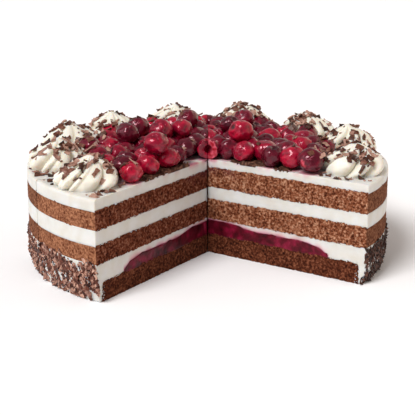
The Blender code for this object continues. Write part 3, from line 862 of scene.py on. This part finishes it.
cherry_jelly = jelly_finish()
for number, (name, group) in enumerate(GROUPS.items()):
    low = level_at(group["bottom"] * MM - TUCK)
    surface = wedge_layer(
        SPANS[name], FILLING_RADIUS, CREAM_SPACING, 12, low, jelly_top(group), jelly_relief(700 + number),
    )
    replaced = f"{name}_cherry_filling"
    layer_piece(f"{name}_cherry_jelly", name, cherry_jelly, replaced, surface)

# %% [markdown]
# ## Sour cherries
#
# Stewed, pitted cherries are not spheres: the skins are wrinkled and dented, the pitting machine
# leaves a hole, and the knife halves a few. Each cherry is a grid of two angles with its
# radius as a formula: broad dents, thin creases and a deep hole at its pole. What lies beyond a
# cut is pressed flat on to the cut's plane, where the pit's hollow is sunk and the flesh is paler.

# %% The shape of a cherry
CHERRY_ROWS = 26
CHERRY_AROUND = 34

polar_angle = pi * (np.arange(1, CHERRY_ROWS + 1) / (CHERRY_ROWS + 1)) ** 1.15
around = np.linspace(0, 2 * pi, CHERRY_AROUND, endpoint=False)
cherry_grid = np.stack([
    np.sin(polar_angle[:, None]) * np.cos(around),
    -np.sin(polar_angle[:, None]) * np.sin(around),
    np.cos(polar_angle[:, None]) + 0 * around,
], axis=-1).reshape(-1, 3)
cherry_ways = np.concatenate([cherry_grid, [(0, 0, 1), (0, 0, -1)]])
cherry_faces = loft_faces(CHERRY_ROWS, CHERRY_AROUND)
print("a cherry has", len(cherry_ways), "points")


def random_turn(draw):
    """A rotation matrix from three random angles."""
    turns = [Matrix.Rotation(draw.uniform(0, 2 * pi), 3, axis) for axis in "ZXZ"]
    return np.array(turns[0] @ turns[1] @ turns[2])


def cherry_shape(radius, pitted, seed, turn):
    """Radius = 1 + dents - creases - hole at the pole, times the size, then turned and squashed.

    Also gives 1 in a pitted cherry's hole, and painted shade for each point, darkest in its creases and
    hole.
    """
    shift = cherry_ways + seed * 3.7
    dents = 0.12 * hills(shift, 0.95, seed) + 0.05 * hills(shift, 0.4, seed + 1)
    crease = (1 - np.abs(hills(shift * (1, 1, 0.55), 0.5, seed + 2))) ** 6
    fine = (1 - np.abs(hills(shift, 0.24, seed + 3))) ** 5
    off_pole = np.arccos(np.clip(cherry_ways[:, 2], -1, 1))
    hole = ramp(-off_pole, -0.42, -0.12)
    depth = 0.6 if pitted else 0.2
    lip = 0.05 * np.exp(-((off_pole - 0.5) / 0.12) ** 2) * pitted
    length = 1.07 + dents - 0.11 * crease - 0.025 * fine - depth * hole + lip
    stretch = (1 - 0.06 * pitted, 1 - 0.1 * (seed % 3 == 0), 1 + 0.08 * (seed % 4 == 0))
    points = cherry_ways * length[:, None] * radius * stretch
    points = points @ turn.T * (1, 1, CHERRY_SQUASH)
    # Painted shade: darker in the creases and in the pit's hole, where shade falls.
    shadow = np.clip(0.55 * crease + 0.2 * fine + 0.9 * hole, 0, 1)
    return points, hole * pitted, shadow


# %% Cherries of each group
def in_group(spot, radius, span):
    """True where a cherry lies in a group, or the knife shares it between the group and another."""
    start, end = span
    angle = start + (atan2(spot.imag, spot.real) - start) % (2 * pi)
    gaps = [cut_distance(spot, start), cut_distance(spot, end)]
    return angle < end or any(gap is not None and abs(gap) < radius * HALF_CUT for gap in gaps)


def pressed_on_cut(points, centre, radius, span, flesh):
    """Move what lies beyond a cut on to its plane and sink the pit's hollow into the flat.

    Where another group stands against the cut, the flat isn't flesh but skin that touches.
    """
    for angle, side in ((span[0], -1), (span[1], 1)):
        normal = sideways(np.array(angle)) * side
        beyond = points @ normal
        depth = centre @ normal
        if depth <= -radius:
            continue
        over = beyond > 0
        disc = sqrt(max(radius**2 - depth**2, (0.3 * radius) ** 2))
        flat = points - np.outer(beyond, normal)
        hub = centre - depth * normal
        spoke = flat - hub
        reach = np.linalg.norm(spoke, axis=1)
        spoke = spoke * np.minimum(1, disc / np.maximum(reach, 1e-9))[:, None]
        pit = 0.34 * disc * ramp(-reach, -0.45 * disc, -0.2 * disc) * (abs(depth) < 0.3 * radius)
        touching = swell_at(angle, 0.8 * TORTE_RADIUS) * 1.2
        pressed = hub + spoke + np.outer(touching - pit - 0.05 * MM, normal)
        points = np.where(over[:, None], pressed, points)
        bare = (1 - 0.6 * (pit > 0)) * (EVERY_CUT.count(angle) == 1)
        flesh = np.where(over, bare, flesh)
    return points, flesh


PITTED_SHARE = 0.45             # how many of the cherries show a deep pitting hole


def heap_surface(span, draw):
    """All cherries of one group in one mesh, with each one's ripeness, painted crease shade and bare flesh.
    """
    points, faces = [], []
    # The crease values are painted shade for the creases and the pit's hole.
    shades = {"ripeness": [], "crease": [], "flesh": []}
    size = len(cherry_ways)
    for number, (spot, radius, height) in enumerate(cherries):
        if not in_group(spot, radius, span):
            continue
        pitted = draw.random() < PITTED_SHARE
        shape, bare, shadow = cherry_shape(radius, pitted, 1000 + number, random_turn(draw))
        centre = np.array([spot.real, spot.imag, height])
        shape, bare = pressed_on_cut(shape + centre, centre, radius, span, bare)
        faces.append([part + size * len(points) for part in cherry_faces])
        points.append(shape)
        for shade, values in zip(shades, (np.full(size, draw.random()), shadow, bare)):
            shades[shade].append(values)
    joined = [np.concatenate([cherry[part] for cherry in faces]) for part in range(3)]
    shades = {shade: np.concatenate(values) for shade, values in shades.items()}
    return np.concatenate(points), joined, shades


# %% [markdown]
# The skin is a wine red that differs from cherry to cherry, from nearly black to
# scarlet. It shines because it is wet: a low roughness and a thin clear coat give the small
# bright highlights, which the juice tints pink. Two fine bumps break them up as wrinkles do.

# %% Wet cherry skin
def cherry_finish():
    """Dark red under a film of syrup: painted shade makes it nearly black in the creases, paler where the
    flesh is bare.
    """
    values = {
        "Roughness": 0.16, "IOR": 1.42, "Specular IOR Level": 0.6, "Specular Tint": linear("#FF9CB2"),
        "Coat Weight": 0.45, "Coat Roughness": 0.05,
    }
    material, tree, shader = new_finish("wet_cherry_skin", values)
    where = put(tree, "TexCoord", out="Object")
    ripe, crease, bare = [
        put(tree, "Attribute", out="Fac", attribute_name=shade) for shade in ("ripeness", "crease", "flesh")
    ]
    murk = put(tree, "TexNoise", {"Vector": where, "Scale": 190, "Detail": 4, "Roughness": 0.6})
    wrinkle = put(tree, "TexNoise", {"Vector": where, "Scale": 270, "Detail": 2, "Distortion": 2.0})
    streak = put(tree, "TexNoise", {"Vector": where, "Scale": 320, "Detail": 2})
    tone = put(tree, "Mix", {0: 0.6, 2: ripe, 3: murk})
    reds = [(0.22, "#400414"), (0.42, "#62061F"), (0.58, "#8E082A"), (0.75, "#BC0E32")]
    skin = put(tree, "ValToRGB", {"Fac": tone}, reds)
    # Painted shade in the creases and the hole, from the mesh's crease values.
    skin = put(tree, "Mix", {0: crease, 6: skin, 7: linear("#2C020C")}, **MIX_COLOURS)
    meat = put(tree, "ValToRGB", {"Fac": streak}, [(0.35, "#96101F"), (0.65, "#D4586A")])
    both = put(tree, "Mix", {0: bare, 6: skin, 7: meat}, **MIX_COLOURS)
    bump = put(tree, "Bump", {"Height": murk, "Strength": 0.4, "Distance": 0.8 * MM})
    bump = put(tree, "Bump", {"Height": wrinkle, "Strength": 0.5, "Distance": 0.8 * MM, "Normal": bump})
    tree.links.new(both, shader.inputs["Base Color"])
    tree.links.new(bump, shader.inputs["Normal"])
    return material


cherry_skin = cherry_finish()
cherry_draw = random.Random(SEED + 5)
for name in GROUPS:
    points, faces, shades = heap_surface(SPANS[name], cherry_draw)
    points = points + PLACES[name]
    replaced = [f"{name}_cherries"]
    new_piece(f"{name}_cherry_heap", points, faces, cherry_skin, shades, replaced)

# %% [markdown]
# ## Piped rosettes
#
# A rosette is pressed out of a star nozzle that turns a little as it is lifted: seven thick
# round ridges with sharp creases between them wind up to a soft peak. The surface is a grid of
# the angle and the share of the height. The crease comes from 1 - |cos| of the angle, which is
# round on the ridge and sharp in the valley, and here and there 1 - |sin| splits a ridge in two.
# Noise makes the ridges uneven in width and depth, and they lean with the height.

# %% The shape of a rosette
ROSETTE_LOBES = 7
ROSETTE_TWIST = radians(10)
ROSETTE_LEVELS = np.array([0.00, 0.17, 0.38, 0.57, 0.74, 0.88, 1.00])
ROSETTE_SPREADS = np.array([0.92, 1.02, 1.00, 0.84, 0.60, 0.33, 0.06])
GROOVE_LEVELS = (0, 0.15, 0.55, 0.85, 1)
GROOVES = (0.26, 0.32, 0.38, 0.32, 0.1)         # depth of a crease over the radius
ROSETTE_ROWS = 64
ROSETTE_AROUND = 176


def rosette_surface(radius, height, turn, seed):
    """Rings of radius * spread(level) * (1 - crease), turned with the level and drawn to a peak."""
    level = np.linspace(0, 1, ROSETTE_ROWS)
    spread = np.interp(level, ROSETTE_LEVELS, ROSETTE_SPREADS)
    spread = np.convolve(np.pad(spread, 4, mode="edge"), np.ones(9) / 9, mode="valid")
    twist = np.interp(level, ROSETTE_LEVELS, np.arange(7) * ROSETTE_TWIST)
    angle = np.linspace(0, 2 * pi, ROSETTE_AROUND, endpoint=False)
    level, spread, twist = level[:, None], spread[:, None], twist[:, None]
    crest = heading(angle)
    uneven = 0.34 * hills(crest + seed, 0.8, seed)
    phase = ROSETTE_LOBES / 2 * (angle + uneven)
    split = np.clip(0.2 + 0.8 * hills(crest + seed, 0.6, seed + 4), 0, 1)
    valley = (1 - np.abs(np.cos(phase))) ** 1.35 + split * (1 - np.abs(np.sin(phase))) ** 1.6
    depth = 0.75 + 0.45 * hills(crest + seed + level[..., None] * (0, 0, 1), 0.7, seed + 3)
    groove = np.interp(level, GROOVE_LEVELS, GROOVES) * depth
    way = heading(angle + turn + twist)
    rings = way * (radius * spread * (1.03 - groove * valley))[..., None]
    inside = rings + level[..., None] * height * (0, 0, 1) + seed
    ripple = 1.6 * hills(inside, 11 * MM, seed + 1) + 0.5 * hills(inside, 4 * MM, seed + 2)
    rings = rings + way * (ripple * MM * (1 - level**2))[..., None]
    lean = heading(np.array(turn * 3.1)) * radius * 0.12
    rings = rings + lean * (level**3)[..., None]
    sag = 0.06 * height * valley * np.sin(pi * level)
    rings[..., 2] = height * level - sag
    # Painted shade for the grooves, fading out towards the peak.
    groove_shade = valley * np.interp(level, [0, 0.9, 1], [1, 0.8, 0])
    return rings, groove_shade


# %% Big shavings of the solids
FLAKE_LENGTHS = (5.5 * MM, 9 * MM)
FLAKE_WIDTHS = (3 * MM, 5 * MM)
FLAKE_THICKNESS = 1.3 * MM
SIDE_FLAKES = 6
SIDE_FLAKE_TOP = 25 * MM
TOP_FLAKES = 3
TOP_FLAKE_BAND = (112 * MM, 134 * MM)
GOLDEN = (sqrt(5) - 1) / 2


def turned_to(facing, tilt_x, tilt_y, spin):
    """Rotation matrix of a flat chip: spun, leaned twice, then turned to face a direction."""
    lean = Matrix.Rotation(tilt_x, 3, "X") @ Matrix.Rotation(tilt_y, 3, "Y")
    face_out = Vector(facing).to_track_quat("Z", "Y").to_matrix()
    return np.array(face_out @ lean @ Matrix.Rotation(spin, 3, "Z"))


def solid_flake(place, facing, draw, tilt):
    """Place, turn and size of one flake of the solids: two lengths, two leans and a spin are drawn."""
    size = (draw.uniform(*FLAKE_LENGTHS), draw.uniform(*FLAKE_WIDTHS), FLAKE_THICKNESS)
    leans = draw.uniform(-tilt, tilt), draw.uniform(-tilt, tilt)
    return np.array(place), turned_to(facing, *leans, draw.uniform(0, pi)), size


def side_flakes(name, draw):
    """The largest shavings on the coat, spread evenly over its lower side."""
    start, end = SPANS[name]
    margin = FLAKE_LENGTHS[1] / 2 / TORTE_RADIUS
    count = SIDE_FLAKES * GROUPS[name]["portions"]
    low = FLAKE_LENGTHS[1] / 2 + GAP
    for number in range(count):
        way = heading(np.array(start + margin + (end - start - 2 * margin) * (number + 0.5) / count))
        height = low + (SIDE_FLAKE_TOP - low) * (number * GOLDEN % 1)
        place = way * (coat_reach(height) - GAP / 2) + PLACES[name] + (0, 0, height)
        yield solid_flake(place, way, draw, radians(9))


def top_flakes(name, draw):
    """Shavings on the top cream, between and outside the rosettes."""
    start, end = SPANS[name]
    half = FLAKE_LENGTHS[1] / 2
    found = 0
    while found < TOP_FLAKES * GROUPS[name]["portions"]:
        radius = draw.uniform(*TOP_FLAKE_BAND)
        margin = (half + GAP) / radius
        spot = radius * compass(draw.uniform(start + margin, end - margin))
        if all(abs(spot - middle) > reach + half + GAP for middle, reach in rosettes[name]):
            found += 1
            place = np.array([spot.real, spot.imag, TORTE_HEIGHT + FLAKE_THICKNESS / 3]) + PLACES[name]
            yield solid_flake(place, (0, 0, 1), draw, radians(14))


# %% Pipe the rosettes
ROSETTE_FLAKES = 2
ROSETTE_SINK = 0.5 * MM         # how deep a rosette sits in the cream under it

solid_draw = random.Random(SEED)
rosette_places(solid_draw)      # the solids took these draws first
big_flakes = {"side": [], "top": []}
rosette_pieces = []
for name in GROUPS:
    big_flakes["side"] += side_flakes(name, solid_draw)
    big_flakes["top"] += top_flakes(name, solid_draw)
    for number, (middle, radius) in enumerate(rosettes[name], start=1):
        height = ROSETTE_HEIGHT * solid_draw.uniform(0.95, 1.04)
        turn = solid_draw.uniform(0, 2 * pi)
        foot = np.array([middle.real, middle.imag, TORTE_HEIGHT + GAP]) + PLACES[name]
        for flake in range(ROSETTE_FLAKES):
            level, spread = ROSETTE_LEVELS[2 + flake], ROSETTE_SPREADS[2 + flake]
            out = heading(np.array(2 * pi * (flake * GOLDEN + solid_draw.uniform(-0.06, 0.06))))
            place = foot + out * radius * spread * 0.78 + (0, 0, height * level + FLAKE_THICKNESS / 3)
            big_flakes["top"].append(solid_flake(place, out * 0.6 + (0, 0, 0.8), solid_draw, radians(20)))
        rings, groove_shade = rosette_surface(radius, height, turn, 40 + len(rosette_pieces))
        tips = np.array([rings[0].mean(axis=0), rings[-1].mean(axis=0) + (0, 0, 0.5 * MM)])
        points = np.concatenate([rings.reshape(-1, 3), tips]) + foot - (0, 0, ROSETTE_SINK)
        # The grooves' painted shade goes to the cream's material.
        shades = {"groove_shade": np.concatenate([groove_shade.ravel(), [0, 0]])}
        rosette_pieces.append(new_piece(
            f"{name}_piped_rosette_{number}", points, loft_faces(ROSETTE_ROWS, ROSETTE_AROUND), piped_cream,
            shades, [f"{name}_rosette_{number}"],
        ))
    for spot, radius, _ in cherries:
        if in_group(spot, radius, SPANS[name]):
            solid_draw.uniform(0, pi)       # each solid cherry's turn, drawn to stay in step
print(len(rosette_pieces), "rosettes,", sum(map(len, big_flakes.values())), "big flakes")

# %% [markdown]
# ## Flake bed
#
# Under the cherries lies a bed of fine chocolate flakes, soaked with juice. At the cut it is a
# rough brown seam of two or three millimetres between the cream and the fruit. It is one more
# wedge, with an upper face of noise that sinks into the cream towards the heap's edge.

# %% Shaved dark chocolate
def chocolate_finish(name, dark, mid, light, roughness):
    """Broken dark chocolate: dull sheen, a tone of its own for each chip, and a fine rough grain."""
    values = {"Roughness": roughness, "IOR": 1.46, "Specular IOR Level": 0.3}
    material, tree, shader = new_finish(name, values)
    where = put(tree, "TexCoord", out="Object")
    cocoa = put(tree, "Attribute", out="Fac", attribute_name="cocoa")
    grain = put(tree, "TexNoise", {"Vector": where, "Scale": 480, "Detail": 3})
    tone = put(tree, "Math", {0: cocoa, 1: grain}, operation="ADD")
    tone = put(tree, "Math", {0: tone, 1: 0.5}, operation="MULTIPLY")
    colour = put(tree, "ValToRGB", {"Fac": tone}, [(0.25, dark), (0.5, mid), (0.75, light)])
    bump = put(tree, "Bump", {"Height": grain, "Strength": 0.5, "Distance": 0.3 * MM})
    tree.links.new(colour, shader.inputs["Base Color"])
    tree.links.new(bump, shader.inputs["Normal"])
    return material


shaved_chocolate = chocolate_finish("shaved_dark_chocolate", "#2C0F07", "#683626", "#C89C88", 0.4)
# A copy of the shaved chocolate, painted darker as shade for the side away from the light.
shaded_right_chocolate = chocolate_finish("shaded_right_dark_chocolate", "#180703", "#3A1A0F", "#6E4434", 0.5)
scraped_chocolate = chocolate_finish("scraped_dark_chocolate", "#2E150D", "#6E4233", "#B89080", 0.38)
bed_chocolate = chocolate_finish("soaked_chocolate_flakes", "#1C0C06", "#4A2A1C", "#8A6250", 0.7)

# %% Beds under the cherries
BED_RADIUS = 90 * MM
BED_SPACING = 1.2 * MM
BED_ROWS = 6
BED_SINK = 0.6 * MM             # how deep the bed's underside lies in the cream
BED_LID = tuple(np.concatenate([[0.99], np.linspace(0.97, 0.03, 56)]))


def bed_height(points):
    """Thickness of the flake bed: noise up to three millimetres, thin at the tip and at its rim."""
    distance = np.linalg.norm(points[..., :2], axis=-1)
    flat = points * (1, 1, 0)
    thick = 0.5 + 1.8 * hills(flat, 14 * MM, 81) + 0.9 * hills(flat, 1.6 * MM, 82)
    ends = ramp(distance, 12 * MM, 26 * MM) * ramp(-distance, -88 * MM, -78 * MM)
    return (thick * ends - 0.7 * (1 - ends)) * MM


def bed_shades(points):
    """How light each point's chocolate is, from noise as fine as the flakes."""
    return {"cocoa": 0.5 + 0.5 * hills(points, 1.2 * MM, 84)}


def bed_relief(side, skin, level):
    """The bed's cut edge: as rough as crumbs, as high as the bed is there, and sunk where it is thin."""
    thin = ramp(-bed_height(side), -0.6 * MM, -0.2 * MM)
    push = (0.35 * hills(side, 1.3 * MM, 83) - 0.15 - 1.2 * thin) * MM
    return push, bed_height(side) * level, bed_shades(side)


def bed_lid_relief(points, share):
    """The bed's upper face."""
    return bed_height(points), bed_shades(points)


for name in GROUPS:
    surface = wedge_layer(
        SPANS[name], BED_RADIUS, BED_SPACING, BED_ROWS, level_at(TORTE_HEIGHT - BED_SINK),
        level_at(TORTE_HEIGHT), bed_relief, lid=BED_LID, lid_relief=bed_lid_relief,
    )
    layer_piece(f"{name}_flake_bed", name, bed_chocolate, f"{name}_cherries", surface)

# %% [markdown]
# ## Chocolate shavings
#
# Shavings come off a block as thin curled slabs with broken edges. Thousands of them can't be
# modelled one by one: one small grid of a slab is bent, stretched, roughened and turned for all
# of them at once, as arrays, and joined into one mesh for each kind. The coat's side carries
# flakes and finer bits up to an uneven edge, with veins of bare cream between them. They are
# paler on the left, and painted darker on the right, as shade on the side away from the light.
# On the top the chips are rained: a ray looks straight down for what is there, and the chip lies
# down on it.

# %% Many chips at once
def chips(places, turns, sizes, curls, seed, cells):
    """Thin slabs, as points, faces and shades: grids above and below, z = curl * x^2, edges jittered."""
    across, along = cells[1] + 1, cells[0] + 1
    x, y = np.meshgrid(np.linspace(-0.5, 0.5, along), np.linspace(-0.5, 0.5, across), indexing="ij")
    sheet = np.stack([x.ravel(), y.ravel()], axis=-1)
    count, corners = len(places), len(sheet)
    jitter = np.random.default_rng(seed)
    flat = sheet + jitter.uniform(-0.12, 0.12, (count, corners, 2))
    thick = jitter.uniform(0.7, 1.15, (count, corners)) * sizes[:, 2:3] / 2
    bent = curls[:, None] * (flat[..., 0] ** 2 - 0.08) * sizes[:, :1]
    twisted = jitter.uniform(-0.5, 0.5, (count, 1)) * flat[..., 0] * flat[..., 1] * sizes[:, 1:2] * 2
    local = np.zeros((count, 2 * corners, 3))
    for part, sign in ((slice(0, corners), 1), (slice(corners, None), -1)):
        local[:, part, :2] = flat * sizes[:, None, :2]
        local[:, part, 2] = bent + twisted + sign * thick
    points = np.einsum("nij,nkj->nki", turns, local) + places[:, None]
    index = np.arange(corners).reshape(along, across)
    top = np.stack([index[:-1, :-1], index[1:, :-1], index[1:, 1:], index[:-1, 1:]], -1).reshape(-1, 4)
    rim = np.concatenate([index[:, 0], index[-1, 1:], index[-2::-1, -1], index[0, -2:0:-1]])
    ahead = np.roll(rim, -1)
    walls = np.stack([rim, rim + corners, ahead + corners, ahead], axis=-1)
    slab = np.concatenate([top, top[:, ::-1] + corners, walls])
    faces = (slab + 2 * corners * np.arange(count)[:, None, None]).reshape(-1, 4)
    cocoa = np.repeat(jitter.uniform(0, 1, count), 2 * corners)
    return points.reshape(-1, 3), [faces], {"cocoa": cocoa}


def joined_chips(name, lists, seed, cells, finish):
    """One piece of many chips, kept above the plate."""
    arrays = [np.array(values, float) for values in lists]
    points, faces, shades = chips(*arrays, seed, cells)
    points[:, 2] = np.maximum(points[:, 2], 0.05 * MM)
    return new_piece(name, points, faces, finish, shades, smooth=False)


def noted(lists, *values):
    """Write one chip's place, turn, size and curl at the end of the four lists."""
    for held, value in zip(lists, values):
        held.append(value)


def with_big(lists, flakes):
    """Add the big flakes of the solids, a little curled, to the lists of chips."""
    for flake in flakes:
        noted(lists, *flake, 0.12)
    return lists


# %% Shavings on the side
SHAVING_TOP = 29 * MM
SHAVING_MARGIN = 0.002          # radians that stay free next to a cut
BARE_VEINS = {"right": 0.6, "left": 0.4, "front": 0.34}         # the lower, the more cream is bare


def side_shavings(draw, count, lengths, widths):
    """Strew shavings over the coat: dense below, thinning at an uneven upper edge, with bare veins."""
    lists = [], [], [], []
    for name, (start, end) in SPANS.items():
        for _ in range(int(count * (end - start) / radians(270))):
            angle = draw.uniform(start + SHAVING_MARGIN, end - SHAVING_MARGIN)
            height = 0.8 * MM + SHAVING_TOP * draw.random() ** 0.95
            way = heading(np.array(angle))
            spot = way * TORTE_RADIUS + (0, 0, height)
            vein = hills(spot[None] * (1.3, 1.3, 0.6) + (0, 0, 0.7 * angle * TORTE_RADIUS), 7 * MM, 60)[0]
            upper = SHAVING_TOP - 1.5 * MM + 2.5 * MM * hills(spot[None] * (1, 1, 0), 8 * MM, 61)[0]
            if vein > BARE_VEINS[name] or height > upper + 1.5 * MM * draw.random():
                continue
            length = draw.uniform(*lengths) * MM
            steep = pi / 2 + draw.gauss(0, 0.9)
            out = coat_reach(height) + draw.uniform(-0.7, 0.0) * MM
            height = max(height, length * abs(sin(steep)) / 2 + 0.3 * MM)
            place = way * out + PLACES[name] + (0, 0, height)
            turn = turned_to(way, draw.gauss(0, 0.2), draw.gauss(0, 0.2), steep)
            size = (length, draw.uniform(*widths) * MM, draw.uniform(0.4, 0.8) * MM)
            noted(lists, place, turn, size, draw.uniform(-0.3, 0.3))
    return lists


def one_side(lists, right):
    """The chips of the right-hand group alone, or those of the other groups."""
    kept = [number for number, place in enumerate(lists[0]) if (place[0] > 0) == right]
    return [[values[number] for number in kept] for values in lists]


SIDE_CHIPS, SIDE_BITS = 5200, 7000                              # tried on three quarters of the coat

side_chips = side_shavings(random.Random(SEED + 6), SIDE_CHIPS, (2.2, 6.6), (1.4, 3.8))
side_chips = with_big(side_chips, big_flakes["side"])
side_bits = side_shavings(random.Random(SEED + 8), SIDE_BITS, (0.9, 2.4), (0.6, 1.5))
# The right-hand group's chips take the copy that is painted darker for shade.
for start, right, finish in (("left", False, shaved_chocolate), ("right", True, shaded_right_chocolate)):
    joined_chips(f"{start}_side_shavings", one_side(side_chips, right), 11, (3, 1), finish)
    joined_chips(f"{start}_side_crumbs", one_side(side_bits, right), 14, (1, 1), finish)

# %% Chips that rain on the top
DROP_HEIGHT = 200 * MM
LOWEST_SEAT = 60 * MM           # what a ray meets lower down is the floor
STEEPEST_SEAT = 0.15            # upward part of the normal under which a chip slides off

bpy.context.view_layer.update()
depsgraph = bpy.context.evaluated_depsgraph_get()


def rained(spot, name, draw, lists, length, width, thick):
    """Drop one chip: it lies on what a ray from above meets, unless that is too steep or too low."""
    start = Vector((spot.real + PLACES[name][0], spot.imag + PLACES[name][1], DROP_HEIGHT))
    hit, seat, normal, *_ = bpy.context.scene.ray_cast(depsgraph, start, Vector((0, 0, -1)))
    if not hit or normal.z < STEEPEST_SEAT or seat.z < LOWEST_SEAT:
        return
    facing = normal + Vector((draw.gauss(0, 0.22), draw.gauss(0, 0.22), 0.1))
    turn = turned_to(facing, draw.gauss(0, 0.15), draw.gauss(0, 0.15), draw.uniform(0, pi))
    place = np.array(seat) + np.array(normal) * thick * 0.45
    noted(lists, place, turn, (length, width, thick), draw.uniform(-0.25, 0.45))


def rain(draw):
    """Chips on each rosette, in the ring between rosettes and cherries, at the rim and on the fruit."""
    large, small = ([], [], [], []), ([], [], [], [])
    zones = (       # inner and outer radius, chips a portion, kind, lengths and widths, in millimetres
        (88, 98, 10, large, (4, 8.5), (2.5, 5)),
        (98, 134, 18, large, (3, 7.5), (2, 4.5)),
        (20, 88, 2, large, (3, 6), (2, 4)),
        (88, 104, 16, small, (1, 3), (0.6, 1.6)),
        (98, 136, 30, small, (1, 2.6), (0.6, 1.4)),
        (10, 88, 3, small, (1, 3), (0.6, 1.8)),
    )
    for name, places in rosettes.items():
        start, end = SPANS[name]
        for middle, radius in places:
            lop = compass(draw.uniform(0, 2 * pi)) * radius * 0.25
            for _ in range(draw.choice((36, 42, 48, 56))):
                out = radius * (0.2 + 0.88 * draw.random() ** 0.8)
                spot = middle + lop + compass(draw.uniform(0, 2 * pi)) * out
                length, width = draw.uniform(3, 7.5) * MM, draw.uniform(2.4, 4.8) * MM
                rained(spot, name, draw, large, length, width, draw.uniform(0.7, 1.2) * MM)
        for inner, outer, count, lists, lengths, widths in zones:
            for _ in range(count * GROUPS[name]["portions"]):
                out = sqrt(draw.uniform(inner**2, outer**2)) * MM
                margin = 3.5 * MM / out
                spot = compass(draw.uniform(start + margin, end - margin)) * out
                length, width = draw.uniform(*lengths) * MM, draw.uniform(*widths) * MM
                rained(spot, name, draw, lists, length, width, draw.uniform(0.5, 1.0) * MM)
    return large, small


large_chips, small_chips = rain(random.Random(SEED + 7))
joined_chips("chocolate_chips", with_big(large_chips, big_flakes["top"]), 12, (3, 2), scraped_chocolate)
joined_chips("chocolate_crumbs", small_chips, 13, (2, 1), scraped_chocolate)
